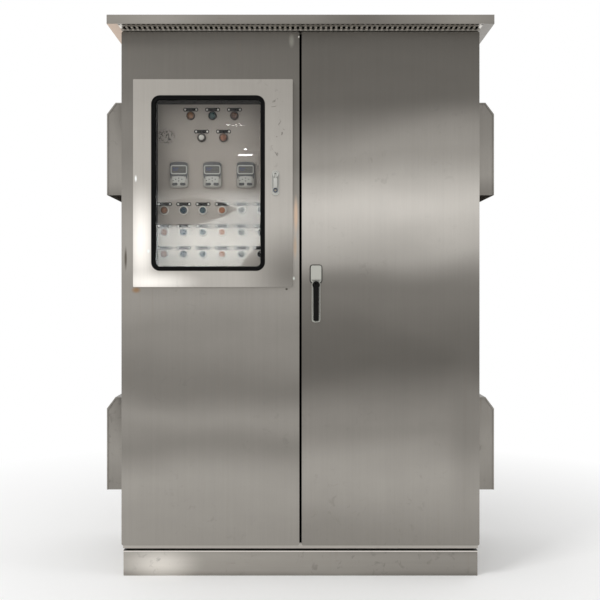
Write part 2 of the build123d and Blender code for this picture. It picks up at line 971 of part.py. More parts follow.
def keypad_screen_z(z):
    return z + keypad_height * 0.2


def keypad_membrane_z(z):
    return z - keypad_height * 0.22


def make_keypad_housing(x, z):
    front = panel_front - keypad_depth
    shape = cut_slab(x, z, keypad_width, keypad_height, keypad_corner, front, panel_front)
    shape -= around(x, keypad_screen_z(z), screen_width, screen_height,
                    front - past, front + screen_recess + screen_depth)
    return shape - around(x, keypad_membrane_z(z), screen_width, membrane_height,
                          front - past, front + membrane_depth)


def make_keypad_screen(x, z):
    front = panel_front - keypad_depth + screen_recess
    return around(x, keypad_screen_z(z), screen_width, screen_height, front, front + screen_depth)


def make_keypad_membrane(x, z):
    front = panel_front - keypad_depth
    middle = keypad_membrane_z(z)
    shape = around(x, middle, screen_width, membrane_height, front, front + membrane_depth)
    shape += prism_y(x, middle + membrane_height / 6, membrane_height / 5, front - key_rise, front)
    for side in (-1, 1):
        key_x = x + side * screen_width / 4
        shape += cut_slab(key_x, middle - membrane_height / 3, screen_width / 3.4, membrane_height / 5.6,
                          membrane_height / 16, front - key_rise, front)
    return shape


# A lock's hub turns on a spindle, and its lever tilts in the hub's slot
def make_hub(x, z, radius, front, back, pin_radius, slot):
    middle = (front + back) / 2
    half = slot / 2
    shape = rod_y(x, z, radius, front, back)
    shape -= block(x - half, x + half, front - past, back - hub_web, z - radius - past, z + radius / 2)
    bore = pin_radius + pin_clearance
    return shape - rod_x(middle, z, bore, x - radius - past, x + radius + past)


def make_lever(x, z, radius, front, back, pin_radius, tongue, width, length):
    middle = (front + back) / 2
    half = tongue / 2
    shoulder = z - math.hypot(radius, (back - front) / 2) - lever_shoulder_gap
    low = z - length
    bar = around(x, (low + shoulder) / 2, width, shoulder - low, front, back)
    bar = chamfer(bar.faces().sort_by(Axis.Y)[0].edges(), width / 8)
    stem = block(x - half, x + half, middle - half, middle + half, shoulder - past, z)
    stem += rod_x(middle, z, half, x - half, x + half)
    pin_half = radius * pin_reach
    return bar + stem + rod_x(middle, z, pin_radius, x - pin_half, x + pin_half)


# Swing handle of the right door: a long plate with a lever that lifts and then turns
def handle_front():
    return door_front - handle_plate


def cover_pivot():
    return handle_pivot_z + handle_top - cover_pivot_drop


def make_handle_housing():
    front = handle_front()
    low = handle_pivot_z - handle_bottom
    middle = handle_pivot_z + handle_head_bottom
    high = handle_pivot_z + handle_top
    corner = handle_width / 6
    shape = cut_slab(handle_x, (low + middle + corner) / 2, handle_width, middle + corner - low,
                     corner, front, door_front)
    shape += cut_slab(handle_x, (middle + high) / 2, handle_head_width, high - middle,
                      corner, front, door_front)
    shape -= rod_y(handle_x, handle_pivot_z, spindle_radius + spindle_clearance,
                   front - past, door_front + past)
    # Fixed stud on which the lock cover swings
    stud_front = front - lever_gap - cover_thickness
    return shape + rod_y(handle_x, cover_pivot(), lever_pin_radius, stud_front, front)


def make_lock_cover():
    back = handle_front() - lever_gap
    front = back - cover_thickness
    top = handle_pivot_z + handle_top
    shape = cut_slab(handle_x, top - cover_height / 2, handle_head_width, cover_height,
                     handle_width / 6, front, back)
    return shape - rod_y(handle_x, cover_pivot(), lever_pin_radius + pin_clearance, front - past, back + past)


def hub_planes():
    back = handle_front() - lever_gap
    return back - hub_height, back


def make_handle_hub():
    front, back = hub_planes()
    slot = lever_tongue + 2 * tongue_clearance
    shape = make_hub(handle_x, handle_pivot_z, hub_radius, front, back, lever_pin_radius, slot)
    shape += rod_y(handle_x, handle_pivot_z, spindle_radius, back, door_front + sheet)
    return shape + around(handle_x, handle_pivot_z, spindle_square, spindle_square,
                          door_front + sheet, cam_planes()[1])


def make_handle_lever():
    front, back = hub_planes()
    return make_lever(handle_x, handle_pivot_z, hub_radius, front, back, lever_pin_radius,
                      lever_tongue, lever_width, lever_length)


# Rod cam on the spindle, and the two flat rods that its pins drive
def cam_planes():
    front = door_front + sheet + cam_gap
    return front, front + cam_thickness


def rod_planes(end):
    start = cam_planes()[1] + rod_gap
    if end < 0:
        start += rod_thickness + rod_spacing
    return start, start + rod_thickness


def make_rod_cam():
    front, back = cam_planes()
    width = spindle_square + 2 * cam_pin_radius
    length = 2 * (cam_arm + cam_pin_radius + cam_end_wall)
    shape = around(handle_x, handle_pivot_z, width, length, front, back)
    hole = spindle_square + 2 * square_clearance
    shape -= around(handle_x, handle_pivot_z, hole, hole, front - past, back + past)
    for end in (-1, 1):
        pin_end = rod_planes(end)[1]
        shape += prism_y(handle_x, handle_pivot_z + end * cam_arm, cam_pin_radius, back, pin_end)
    return shape


def make_rod(end):
    front, back = rod_planes(end)
    pin_z = handle_pivot_z + end * cam_arm
    tip = door_top if end > 0 else door_bottom
    play = cam_pin_radius + rod_clearance
    reach = cam_arm + play
    # The pin swings to the left above the spindle and to the right below it
    x0, x1 = handle_x - end * reach, handle_x + end * play
    slot_z = (pin_z - end * play, pin_z + end * (play + yoke_play))
    wall = end * yoke_wall
    yoke = block(x0 - wall, x1 + wall, front, back, slot_z[0] - wall, slot_z[1] + wall)
    half = rod_width / 2
    bar = block(handle_x - half, handle_x + half, front, back, pin_z + end * play, tip)
    return yoke + bar - block(x0, x1, front - past, back + past, *slot_z)


def rod_slot(end, z0, z1):
    front, back = rod_planes(end)
    half = rod_width / 2 + rod_clearance
    return block(handle_x - half, handle_x + half, front - rod_clearance, back + rod_clearance, z0, z1)


def make_right_door():
    shape = make_main_door(1)
    shape -= rod_y(handle_x, handle_pivot_z, spindle_radius + spindle_hole_gap,
                   door_front - past, door_front + sheet + past)
    for end, tip in ((-1, door_bottom), (1, door_top)):
        back = rod_planes(end)[1] + guide_cover
        wide = rod_width / 2 + guide_wall
        for share in guide_heights:
            z = handle_pivot_z + end * (cam_arm + door_height * share - guide_height * 4)
            guide = around(handle_x, z, 2 * wide, guide_height, door_front + sheet, back)
            shape += guide - rod_slot(end, z - guide_height, z + guide_height)
        shape -= rod_slot(end, tip - 2 * sheet, tip + 2 * sheet)
    return shape


# Window door lock: a long plate, a hub with its cam, and a small lever
def lock_plane():
    return window_door_front - lock_plate


def lock_hub_planes():
    back = lock_plane() - lever_gap
    return back - lock_hub_height, back


def make_window_lock_housing():
    x, z = lock_place()
    middle = z + lock_pivot_drop - lock_height / 2
    front = lock_plane()
    # The ends are full half rounds
    shape = around(x, middle, lock_width, lock_height - lock_width, front, window_door_front)
    for end in (-1, 1):
        end_z = middle + end * (lock_height - lock_width) / 2
        shape += rod_y(x, end_z, lock_width / 2, front, window_door_front)
    shape -= rod_y(x, z, lock_spindle_radius + spindle_clearance, front - past, window_door_front + past)
    key_z = z - lock_lever_length - lock_width / 4
    return shape - prism_y(x, key_z, lock_width / 6, front - past, front + key_depth)


def make_window_lock_cam():
    x, z = lock_place()
    front, back = lock_hub_planes()
    cam_front = skin_back + sheet
    cam_back = cam_front + lock_cam_thickness
    slot = lock_tongue + 2 * tongue_clearance
    shape = make_hub(x, z, lock_hub_radius, front, back, lock_pin_radius, slot)
    shape += rod_y(x, z, lock_spindle_radius, back, cam_back)
    half_cam = lock_cam_width / 2
    return shape + block(x - lock_cam_length, x + half_cam, cam_front, cam_back, z - half_cam, z + half_cam)


def make_window_lock_lever():
    x, z = lock_place()
    front, back = lock_hub_planes()
    return make_lever(x, z, lock_hub_radius, front, back, lock_pin_radius, lock_tongue,
                      lock_lever_width, lock_lever_length)


# One file for each node
def save(name, shapes):
    solids = [solid for shape in shapes for solid in shape.solids()]
    export_step(solids[0] if len(solids) == 1 else Compound(solids), f"parts/{name}.step")


os.makedirs("parts", exist_ok=True)

upper_vents = [(side, centre) for side, bottom, centre in hood_centres() if bottom == upper_hood_z]
lower_vents = [(side, centre) for side, bottom, centre in hood_centres() if bottom == lower_hood_z]
red_places = device_column(0) + [phase_lamps()[2], status_lamps()[1]]
green_places = device_column(1) + [phase_lamps()[1]]

nodes = {
    "plinth": [make_plinth()],
    "base_bolts": make_base_bolts(),
    "carcass": [make_carcass()],
    "roof_cap": [make_roof()],
    "door_hinge_pins": make_door_hinge_pins(),
    "vent_hoods": [make_hood(side, bottom) for side, bottom, centre in hood_centres()],
    "fan_housings": [make_fan_housing(side, z) for side, z in upper_vents],
    "fan_rotor_left": [make_fan_rotor(*upper_vents[0])],
    "fan_rotor_right": [make_fan_rotor(*upper_vents[1])],
    "filter_mats": [make_filter_mat(side, z) for side, z in lower_vents],
    "mounting_plate": [make_mounting_plate()],
    "frequency_drives": [make_drive(drive_pitch * step) for step in (-1, 0, 1)],
    "main_breaker": [make_main_breaker()],
    "breaker_toggle": [make_breaker_toggle()],
    "terminal_blocks": [make_terminal_blocks()],
    "wiring_ducts": make_wiring_ducts(),
    "left_door": [make_left_door()],
    "left_door_seal": [make_door_seal(-1)],
    "left_top_bolt": [make_slide_bolt(1)],
    "left_bottom_bolt": [make_slide_bolt(-1)],
    "window_hinge_pins": make_window_hinge_pins(),
    "window_door": [make_window_door()],
    "window_gasket": [make_window_gasket()],
    "window_pane": [make_window_pane()],
    "window_lock_housing": [make_window_lock_housing()],
    "window_lock_cam": [make_window_lock_cam()],
    "window_lock_lever": [make_window_lock_lever()],
    "control_box": [make_control_box()],
    "control_panel": [make_control_panel()],
    "lamp_bodies": [device_body(x, z) for x, z in lamp_places()],
    "switch_bodies": make_switch_bodies(),
    "amber_lens": [make_lens(*phase_lamps()[0])],
    "green_lenses": [make_lens(x, z) for x, z in green_places],
    "red_lenses": [make_lens(x, z) for x, z in red_places],
    "white_lens": [make_lens(*status_lamps()[0])],
    "legend_plates": [make_legend_plate(x, z) for x, z in lamp_places() + switch_places()],
    "keypad_housings": [make_keypad_housing(x, z) for x, z in keypad_places()],
    "keypad_screens": [make_keypad_screen(x, z) for x, z in keypad_places()],
    "keypad_membranes": [make_keypad_membrane(x, z) for x, z in keypad_places()],
    "right_door": [make_right_door()],
    "right_door_seal": [make_door_seal(1)],
    "handle_housing": [make_handle_housing()],
    "handle_hub": [make_handle_hub()],
    "handle_lever": [make_handle_lever()],
    "lock_cover": [make_lock_cover()],
    "rod_cam": [make_rod_cam()],
    "upper_rod": [make_rod(1)],
    "lower_rod": [make_rod(-1)],
}
for row in range(drive_count):
    nodes[f"start_button_{row + 1}"] = [make_button(*device_column(2)[row])]
    nodes[f"stop_button_{row + 1}"] = [make_button(*device_column(3)[row])]
    nodes[f"mode_selector_{row + 1}"] = [make_selector(*device_column(4)[row])]
    nodes[f"speed_knob_{row + 1}"] = [make_speed_knob(*device_column(5)[row])]

for name, shapes in nodes.items():
    save(name, shapes)
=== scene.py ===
import math
import bmesh
import bpy
import numpy as np
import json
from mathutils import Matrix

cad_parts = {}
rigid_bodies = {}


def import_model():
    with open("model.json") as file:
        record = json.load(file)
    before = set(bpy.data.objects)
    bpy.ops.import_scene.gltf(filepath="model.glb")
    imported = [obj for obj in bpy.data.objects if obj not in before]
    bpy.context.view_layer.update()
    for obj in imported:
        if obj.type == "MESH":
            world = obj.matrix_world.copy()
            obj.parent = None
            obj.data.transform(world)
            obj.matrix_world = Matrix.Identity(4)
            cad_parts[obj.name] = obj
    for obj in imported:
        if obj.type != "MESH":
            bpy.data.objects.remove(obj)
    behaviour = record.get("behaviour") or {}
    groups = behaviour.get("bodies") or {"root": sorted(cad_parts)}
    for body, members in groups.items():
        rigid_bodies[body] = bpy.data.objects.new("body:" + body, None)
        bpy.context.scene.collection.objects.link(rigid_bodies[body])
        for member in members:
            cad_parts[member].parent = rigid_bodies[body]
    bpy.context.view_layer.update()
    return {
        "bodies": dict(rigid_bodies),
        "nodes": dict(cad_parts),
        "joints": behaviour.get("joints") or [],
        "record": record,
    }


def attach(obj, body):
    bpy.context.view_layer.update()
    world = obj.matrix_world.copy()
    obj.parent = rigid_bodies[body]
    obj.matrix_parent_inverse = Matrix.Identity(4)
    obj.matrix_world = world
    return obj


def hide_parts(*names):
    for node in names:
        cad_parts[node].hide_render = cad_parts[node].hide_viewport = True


# Looks of the drive control cabinet: brushed stainless sheet, a windowed control panel,
# rubber, moulded plastic and glass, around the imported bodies. Metres, Z up, the doors face -Y.
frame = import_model()
nodes = frame["nodes"]


# Small tools for meshes
def gridFaces(rows, columns, closedRows=False):
    # Quads between neighbouring rows and columns of a point grid, as one index array
    r = np.arange(rows if closedRows else rows - 1)[:, None]
    c = np.arange(columns)[None, :]
    r2, c2 = (r + 1) % rows, (c + 1) % columns
    quads = np.stack([r * columns + c, r * columns + c2, r2 * columns + c2, r2 * columns + c], -1)
    return quads.reshape(-1, 4).tolist()


def cappedFaces(rows, columns):
    # The same quads, with one face over the first row and one over the last
    return gridFaces(rows, columns) + [list(range(columns)), [(rows - 1) * columns + i for i in range(columns)]]


def addObject(name, data):
    made = bpy.data.objects.new(name, data)
    bpy.context.scene.collection.objects.link(made)
    return made


def finishMesh(mesh, sharpAngle):
    # Merge doubles, turn faces outwards, shade smooth with creases past the angle
    work = bmesh.new()
    work.from_mesh(mesh)
    bmesh.ops.remove_doubles(work, verts=work.verts, dist=1e-6)
    bmesh.ops.dissolve_degenerate(work, dist=1e-7, edges=work.edges)
    bmesh.ops.recalc_face_normals(work, faces=work.faces)
    work.to_mesh(mesh)
    work.free()
    mesh.shade_smooth()
    mesh.set_sharp_from_angle(angle=math.radians(sharpAngle))


def addPiece(name, parts, finish, body, replaced=(), sharpAngle=35):
    # One object from several closed surfaces, each a pair of points and faces
    points, faces, start = [], [], 0
    for partPoints, partFaces in parts:
        points.append(np.asarray(partPoints, float))
        faces += [[start + i for i in face] for face in partFaces]
        start += len(partPoints)
    mesh = bpy.data.meshes.new(name)
    mesh.from_pydata(np.concatenate(points).tolist(), [], faces)
    finishMesh(mesh, sharpAngle)
    piece = addObject(name, mesh)
    mesh.materials.append(materials[finish])
    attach(piece, body)
    if replaced:
        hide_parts(*replaced)


def roundedLoop(width, height, radius, steps=6):
    # A rectangle with quarter-circle corners: corner centre plus radius times (cos a, sin a)
    radius = min(radius, width / 2, height / 2)
    turn = np.linspace(0, np.pi / 2, steps)
    corners = []
    for quarter, (sx, sz) in enumerate(((1, 1), (-1, 1), (-1, -1), (1, -1))):
        angle = turn + quarter * np.pi / 2
        centre = np.array([sx * (width / 2 - radius), sz * (height / 2 - radius)])
        corners.append(centre + radius * np.stack([np.cos(angle), np.sin(angle)], -1))
    return np.concatenate(corners)


def ring(x, z, outline, y):
    return np.stack([x + outline[:, 0], np.full(len(outline), y), z + outline[:, 1]], -1)


def stacked(x, z, outlines):
    # Outlines of equal length, each at its plane y, stacked along Y and capped at both ends
    rings = [ring(x, z, outline, y) for outline, y in outlines]
    return np.concatenate(rings), cappedFaces(len(rings), len(rings[0]))


def loftFront(x, z, sections, steps=6, turn=0.0):
    # Rounded loops stacked along -Y: each section is width, height, corner radius and its plane y
    c, s = math.cos(turn), math.sin(turn)
    spin = np.array([[c, s], [-s, c]])
    return stacked(x, z, [(roundedLoop(width, height, radius, steps) @ spin, y)
                          for width, height, radius, y in sections])


def narrowed(width, height, rows):
    # Sections that step inwards: each row is a cut off the size, a corner radius and a plane y
    return [(width - cut, height - cut, radius, y) for cut, radius, y in rows]


def turned(x, z, profile, sides=32):
    # A turned form about an axis along Y: radius times (cos a, sin a) at each plane of the profile
    angle = np.linspace(0, 2 * np.pi, sides, endpoint=False)
    radius = np.array([p[0] for p in profile])[:, None]
    plane = np.array([p[1] for p in profile])[:, None]
    points = np.stack([x + radius * np.cos(angle), plane + 0 * angle, z + radius * np.sin(angle)], -1)
    # The last point of every profile lies on the axis, so only the first ring needs a cap
    return points.reshape(-1, 3), gridFaces(len(profile), sides) + [list(range(sides))]


def sweptFrame(x, z, width, height, radius, profile, steps=10):
    # A closed section carried round a rounded rectangle: loop point plus outward offset, at its plane
    rings = [ring(x, z, roundedLoop(width + 2 * out, height + 2 * out, radius + out, steps), y) for out, y in profile]
    return np.concatenate(rings), gridFaces(len(rings), 4 * steps, closedRows=True)


def crownedBar(x, rows):
    # A bar along Z: eight points across, from each row's z, half width, back plane, front plane and edge round
    loops = []
    for z, half, back, front, edge in rows:
        right = [(half, back), (half, front + edge), (half - 0.3 * edge, front + 0.3 * edge), (half - edge, front)]
        loops.append([(x - out, y, z) for out, y in right] + [(x + out, y, z) for out, y in right[::-1]])
    return np.array(loops).reshape(-1, 3), cappedFaces(len(rows), 8)


# Small tools for node trees
def feed(tree, sockets, inputs):
    # Link what is a socket and set what is a value
    for key, value in inputs.items():
        if isinstance(value, bpy.types.NodeSocket):
            tree.links.new(value, sockets[key])
        else:
            sockets[key].default_value = value


def place(tree, kind, inputs, **settings):
    made = tree.nodes.new(kind)
    for key, value in settings.items():
        setattr(made, key, value)
    feed(tree, made.inputs, inputs)
    return made


def maths(tree, operation, a, b=0.0, clamp=False):
    return place(tree, "ShaderNodeMath", {0: a, 1: b}, operation=operation, use_clamp=clamp).outputs[0]


def times(tree, a, b):
    return maths(tree, "MULTIPLY", a, b)


def plus(tree, a, b, clamp=False):
    return maths(tree, "ADD", a, b, clamp)


def minus(tree, a, b):
    return maths(tree, "SUBTRACT", a, b)


def vectorMaths(tree, operation, a, b=(0, 0, 0)):
    return place(tree, "ShaderNodeVectorMath", {0: a, 1: b}, operation=operation).outputs


def lengthOf(tree, vector):
    return vectorMaths(tree, "LENGTH", vector)["Value"]


def axesOf(tree, vector):
    return place(tree, "ShaderNodeSeparateXYZ", {0: vector}).outputs


def normalUp(tree):
    return axesOf(tree, tree.nodes.new("ShaderNodeNewGeometry").outputs["Normal"])["Z"]


def spread(tree, value, low, high, newLow=0.0, newHigh=1.0, kind="LINEAR"):
    return place(tree, "ShaderNodeMapRange", {"Value": value, "From Min": low, "From Max": high, "To Min": newLow,
                                              "To Max": newHigh}, interpolation_type=kind).outputs["Result"]


def noise(tree, vector, scale, detail=2.0, roughness=0.5, distortion=0.0):
    return place(tree, "ShaderNodeTexNoise", {"Vector": vector, "Scale": scale, "Detail": detail,
                                              "Roughness": roughness, "Distortion": distortion}).outputs["Fac"]


def blend(tree, factor, a, b, mode="MIX"):
    mixed = place(tree, "ShaderNodeMix", {}, data_type="RGBA", blend_type=mode)
    feed(tree, mixed.inputs, {0: factor, 6: a, 7: b})
    return mixed.outputs[2]


def scaledColour(tree, colour, gain):
    # All three channels times one number
    grey = place(tree, "ShaderNodeCombineColor", {0: gain, 1: gain, 2: gain}).outputs[0]
    return blend(tree, 1.0, colour, grey, "MULTIPLY")


def newGroup(name, ins, outs):
    # A plain number makes a number input, anything else a vector input; all outputs are numbers
    group = bpy.data.node_groups.new(name, "ShaderNodeTree")
    for label, value in ins.items():
        kind = "NodeSocketFloat" if isinstance(value, float) else "NodeSocketVector"
        socket = group.interface.new_socket(label, in_out="INPUT", socket_type=kind)
        if value is not None:
            socket.default_value = value
    for label in outs:
        group.interface.new_socket(label, in_out="OUTPUT", socket_type="NodeSocketFloat")
    return group, group.nodes.new("NodeGroupInput").outputs, group.nodes.new("NodeGroupOutput").inputs


def fromScreen(level):
    # A screen tone from 0 to 255 as linear light
    s = level / 255
    return s / 12.92 if s <= 0.04045 else ((s + 0.055) / 1.055) ** 2.4


def warmGrey(level):
    # Stainless is a little warm, and warmer where it is dark
    lift = 0.04 + 0.05 * (1 - level / 255)
    tone = fromScreen(level)
    return (tone * (1 + lift), tone, tone * (1 - 1.5 * lift), 1)


# Shared surface effects, one node group each
def makeBrushedGrain():
    # Noise drawn out along the brushing, fine for the lines and wide for streaks
    group, ins, outs = newGroup("brushedGrain", {"Vector": None, "Along": (1, 1, 1)}, ("Grain", "Streak"))
    scaled = vectorMaths(group, "MULTIPLY", ins["Vector"], ins["Along"])[0]
    wide = vectorMaths(group, "MULTIPLY", scaled, (0.12, 0.12, 0.12))[0]
    feed(group, outs, {"Grain": noise(group, scaled, 1.0, 4.0, 0.65), "Streak": noise(group, wide, 1.0, 3.0, 0.6)})
    return group


def makeSheetWaves():
    # Broad soft unevenness of thin sheet: low noise, bent by itself
    group, ins, outs = newGroup("sheetWaves", {"Vector": None, "Stretch": (1, 1, 1)}, ("Wave", "Patch"))
    scaled = vectorMaths(group, "MULTIPLY", ins["Vector"], ins["Stretch"])[0]
    feed(group, outs, {"Wave": noise(group, scaled, 1.0, 1.0, 0.4, 0.6),
                       "Patch": noise(group, scaled, 5.0, 3.0, 0.55, 0.3)})
    return group


def makeSmudges():
    # Dull blotches and finger marks: small noise cut off high, inside large patches
    group, ins, outs = newGroup("smudges", {"Vector": None, "Scale": 30.0, "Cover": 0.5}, ("Mark",))
    marks = spread(group, noise(group, ins["Vector"], ins["Scale"], 3.0, 0.6, 0.8), 0.58, 0.7)
    edge = minus(group, 1.0, ins["Cover"])
    patch = spread(group, noise(group, ins["Vector"], 4.0), edge, plus(group, edge, 0.15))
    feed(group, outs, {"Mark": times(group, marks, patch)})
    return group


def makeDripStains():
    # Run marks of rain: noise drawn out along Z, strongest in few places
    group, ins, outs = newGroup("dripStains", {"Vector": None, "Narrow": 60.0}, ("Drip",))
    axes = place(group, "ShaderNodeCombineXYZ", {"X": ins["Narrow"], "Y": ins["Narrow"], "Z": 2.5}).outputs[0]
    drawn = vectorMaths(group, "MULTIPLY", ins["Vector"], axes)[0]
    lines = spread(group, noise(group, drawn, 1.0), 0.6, 0.78)
    places = spread(group, noise(group, ins["Vector"], 3.0, 1.0), 0.5, 0.65)
    feed(group, outs, {"Drip": times(group, lines, places)})
    return group


def makeMouldGrain():
    # Fine spark-eroded grain of moulded plastic, with a faint film of dust on what faces up
    group, ins, outs = newGroup("mouldGrain", {"Vector": None, "Fineness": 900.0}, ("Grain", "Dust"))
    dust = spread(group, noise(group, ins["Vector"], 22.0, 3.0, 0.6), 0.45, 0.75)
    lying = spread(group, normalUp(group), -0.4, 1.0, 0.25, 1.0)
    feed(group, outs, {"Grain": noise(group, ins["Vector"], ins["Fineness"], 2.0, 0.6),
                       "Dust": times(group, dust, lying)})
    return group


def makeSoftSpot():
    # One in the middle, falling smoothly to nothing at the edge of an ellipse seen from the front
    group, ins, outs = newGroup("softSpot", {"Vector": None, "Centre": (0, 0, 0), "Size": (1, 1, 1), "Core": 0.0},
                                ("Mask",))
    offset = vectorMaths(group, "SUBTRACT", ins["Vector"], ins["Centre"])[0]
    flat = vectorMaths(group, "MULTIPLY", offset, (1, 0, 1))[0]
    share = vectorMaths(group, "DIVIDE", flat, ins["Size"])[0]
    feed(group, outs, {"Mask": spread(group, lengthOf(group, share), ins["Core"], 1.0, 1.0, 0.0, "SMOOTHSTEP")})
    return group


effects = {"spot": makeSoftSpot(), "grain": makeBrushedGrain(), "waves": makeSheetWaves(), "smudges": makeSmudges(),
           "drips": makeDripStains(), "mould": makeMouldGrain()}


def effect(tree, name, where, **inputs):
    made = tree.nodes.new("ShaderNodeGroup")
    made.node_tree = effects[name]
    feed(tree, made.inputs, {"Vector": where, **inputs})
    return made.outputs


def spotMask(tree, where, x, z, wide, high, core=0.0):
    return effect(tree, "spot", where, Centre=(x, 0, z), Size=(wide, 1, high), Core=core)["Mask"]


def newMaterial(name):
    material = bpy.data.materials.new(name)
    material.use_nodes = True
    tree = material.node_tree
    return material, tree, tree.nodes["Principled BSDF"], tree.nodes.new("ShaderNodeTexCoord").outputs["Object"]


def bump(tree, shader, heights):
    # Bumps chained one after another: pairs of a height and its real depth in metres
    normal = None
    for height, depth in heights:
        made = place(tree, "ShaderNodeBump", {"Height": height, "Distance": depth, "Strength": 1.0})
        if normal:
            tree.links.new(normal, made.inputs["Normal"])
        normal = made.outputs["Normal"]
    tree.links.new(normal, shader.inputs["Normal"])


# Stainless sheet, with light and shade painted into its colour. tones: heights in metres with screen levels, painted
# bands of the light and shade that the sheet mirrors; broad patches: place, size, level and strength of painted
# reflections, lighter or darker; small patches: place, size and screen colour of painted highlights and reflections,
# and a few stains;
# lines: painted highlight and shadow lines between two heights; sides: gain at the left and right edge, painted light
# across the sheet; wander: how far the tones stray; along: grain per metre on each axis
steelBase = {"wander": 0.05, "tilt": 0.0, "along": (700, 700, 9), "roughness": 0.36, "smudge": 0.15, "cover": 0.5,
             "drip": 0.05}
steelLooks = {
    "rightDoorSteel": {
        "tones": [(0.12, 138), (0.32, 156), (0.50, 132), (0.74, 96), (0.94, 114), (1.23, 190), (1.40, 146),
                  (1.64, 98), (1.83, 94)],
        "paintedReflections": [(0.30, 1.24, 0.40, 0.07, 202, 0.5), (0.56, 0.50, 0.10, 0.40, 118, 0.5)], "tilt": -0.03},
    "leftDoorSteel": {
        "tones": [(0.12, 150), (0.28, 154), (0.42, 130), (0.52, 142), (0.64, 120), (0.78, 134), (0.95, 146),
                  (1.15, 152), (1.45, 122), (1.65, 106), (1.83, 100)],
        "paintedReflections": [(-0.02, 1.15, 0.03, 0.16, 190, 0.6), (-0.58, 1.12, 0.05, 0.14, 165, 0.5)],
        # Small painted highlights and reflections by the gap and the handle, with a rust patch and dark marks
        "paintedGlintsAndStains": [(-0.0224, 1.004, 0.005, 0.008, (225, 230, 222)), (-0.0465, 0.968, 0.006, 0.005, (66, 60, 52)),
                   (-0.0155, 1.215, 0.010, 0.080, (208, 182, 160)), (-0.0180, 1.110, 0.009, 0.055, (186, 168, 150)),
                   (-0.0300, 1.800, 0.012, 0.030, (132, 130, 122)), (-0.0050, 1.812, 0.004, 0.005, (225, 222, 214)),
                   (-0.5500, 0.965, 0.020, 0.014, (150, 124, 98)), (-0.5850, 1.070, 0.006, 0.050, (98, 92, 84))],
        "tilt": 0.05, "drip": 0.10},
    "bodySteel": {
        "tones": [(0.086, 150), (0.30, 150), (0.60, 128), (0.90, 134), (1.20, 158), (1.50, 130), (1.84, 118)],
        # Painted light on the recessed strip under the doors, and painted shade in the joint above the plinth
        "paintedLightLines": [(0.0893, 0.1080, 176), (0.0858, 0.0885, 22)], "wander": 0.10, "roughness": 0.38, "drip": 0.2},
    "roofSteel": {
        "tones": [(1.838, 108), (1.844, 122), (1.868, 126)],
        "paintedReflections": [(-0.45, 1.855, 0.20, 0.06, 142, 0.8), (0.54, 1.855, 0.16, 0.06, 140, 0.8),
                  (0.20, 1.855, 0.20, 0.06, 102, 0.7)],
        # Underside: painted light by depth, brighter than its shade
        "soffit": [(-0.360, 215), (-0.343, 225), (-0.337, 235), (-0.330, 252), (-0.309, 252), (-0.303, 120)],
        "wander": 0.02, "along": (9, 700, 700), "smudge": 0.2, "cover": 0.6, "drip": 0.15},
    "plinthSteel": {
        # Painted highlight on the top fold, painted shade in the joint above it, lighter at the left
        "tones": [(0.0, 128), (0.02, 146), (0.066, 148), (0.086, 138)], "sides": (1.35, 0.95),
        "paintedLightLines": [(0.0806, 0.0834, 232), (0.0846, 0.0870, 22)], "paintedReflections": [(-0.47, 0.040, 0.16, 0.070, 212, 0.8)],
        "wander": 0.01, "along": (9, 700, 700), "smudge": 0.35, "cover": 0.6, "drip": 0.25},
    "hoodSteel": {
        "tones": [(0.26, 140), (0.40, 150), (0.55, 138), (0.60, 124), (1.28, 124), (1.36, 146), (1.60, 126)],
        "wander": 0.03, "roughness": 0.42, "smudge": 0.4, "cover": 0.6, "drip": 0.3},
    "windowDoorSteel": {
        # Painted glare on the lower left of the frame, painted shade on the right, lighter at the left, small painted
        # highlights
        "tones": [(0.98, 168), (1.20, 172), (1.40, 162), (1.66, 148)], "sides": (1.15, 0.97),
        "paintedReflections": [(-0.53, 1.13, 0.07, 0.22, 250, 0.95), (-0.50, 0.99, 0.20, 0.05, 244, 0.9),
                  (-0.03, 1.02, 0.20, 0.20, 112, 0.9)],
        "paintedGlintsAndStains": [(-0.547, 1.335, 0.005, 0.015, (252, 254, 252)), (-0.505, 1.094, 0.006, 0.009, (250, 253, 250))],
        "scuffs": [{"place": (-0.078, 1.500), "size": (0.030, 0.150), "scale": 46.0, "curl": 1.0, "cut": 0.62,
                    "edge": 0.06, "tone": 96}],
        "wander": 0.01, "roughness": 0.34, "smudge": 0.25, "cover": 0.42},
    # Painted shade: darker up the box and black at its top, where the recess is in shade
    "innerSteel": {
        "tones": [(0.09, 150), (1.55, 118), (1.62, 60), (1.634, 24), (1.84, 24)],
        "roughness": 0.4, "smudge": 0.1, "cover": 0.4, "drip": 0.0},
    "zincPlate": {
        "tones": [(0.0, 168), (1.87, 168)],
        "wander": 0.1, "along": (60, 60, 60), "roughness": 0.42, "smudge": 0.3, "cover": 0.6, "drip": 0.0}}
# Vent holes under the roof painted dark with their shade, and painted reflections on the underside beyond the body's
# sides
soffitLook = {"pitch": 0.0164, "holeRow": 0.3515, "holeEdge": (0.0060, 0.0044), "holeTone": 34,
              "flankStart": (0.598, 0.603), "leftFlankReflection": (0.66, 0.51, 0.40, 1), "rightFlankReflection": 150}


def toneRamp(tree, height, tones):
    # Tones over the height, eased between their stops
    low, high = tones[0][0], tones[-1][0]
    ramp = place(tree, "ShaderNodeValToRGB", {"Fac": spread(tree, height, low, high)})
    stops = ramp.color_ramp
    stops.interpolation = "EASE"
    for level, tone in tones[1:-1]:
        stops.elements.new((level - low) / (high - low))
    for stop, (level, tone) in zip(stops.elements, tones):
        stop.color = warmGrey(tone)
    return ramp.outputs["Color"]


def addScuffs(tree, where, colour, look):
    # Ragged worn patches: noise cut off high, inside a soft ellipse
    for patch in look.get("scuffs", ()):
        region = spotMask(tree, where, *patch["place"], *patch["size"], core=0.4)
        spots = noise(tree, where, patch["scale"], 2.0, 0.55, patch["curl"])
        ragged = spread(tree, spots, patch["cut"], patch["cut"] + patch["edge"])
        colour = blend(tree, times(tree, region, ragged), colour, warmGrey(patch["tone"]))
    return colour


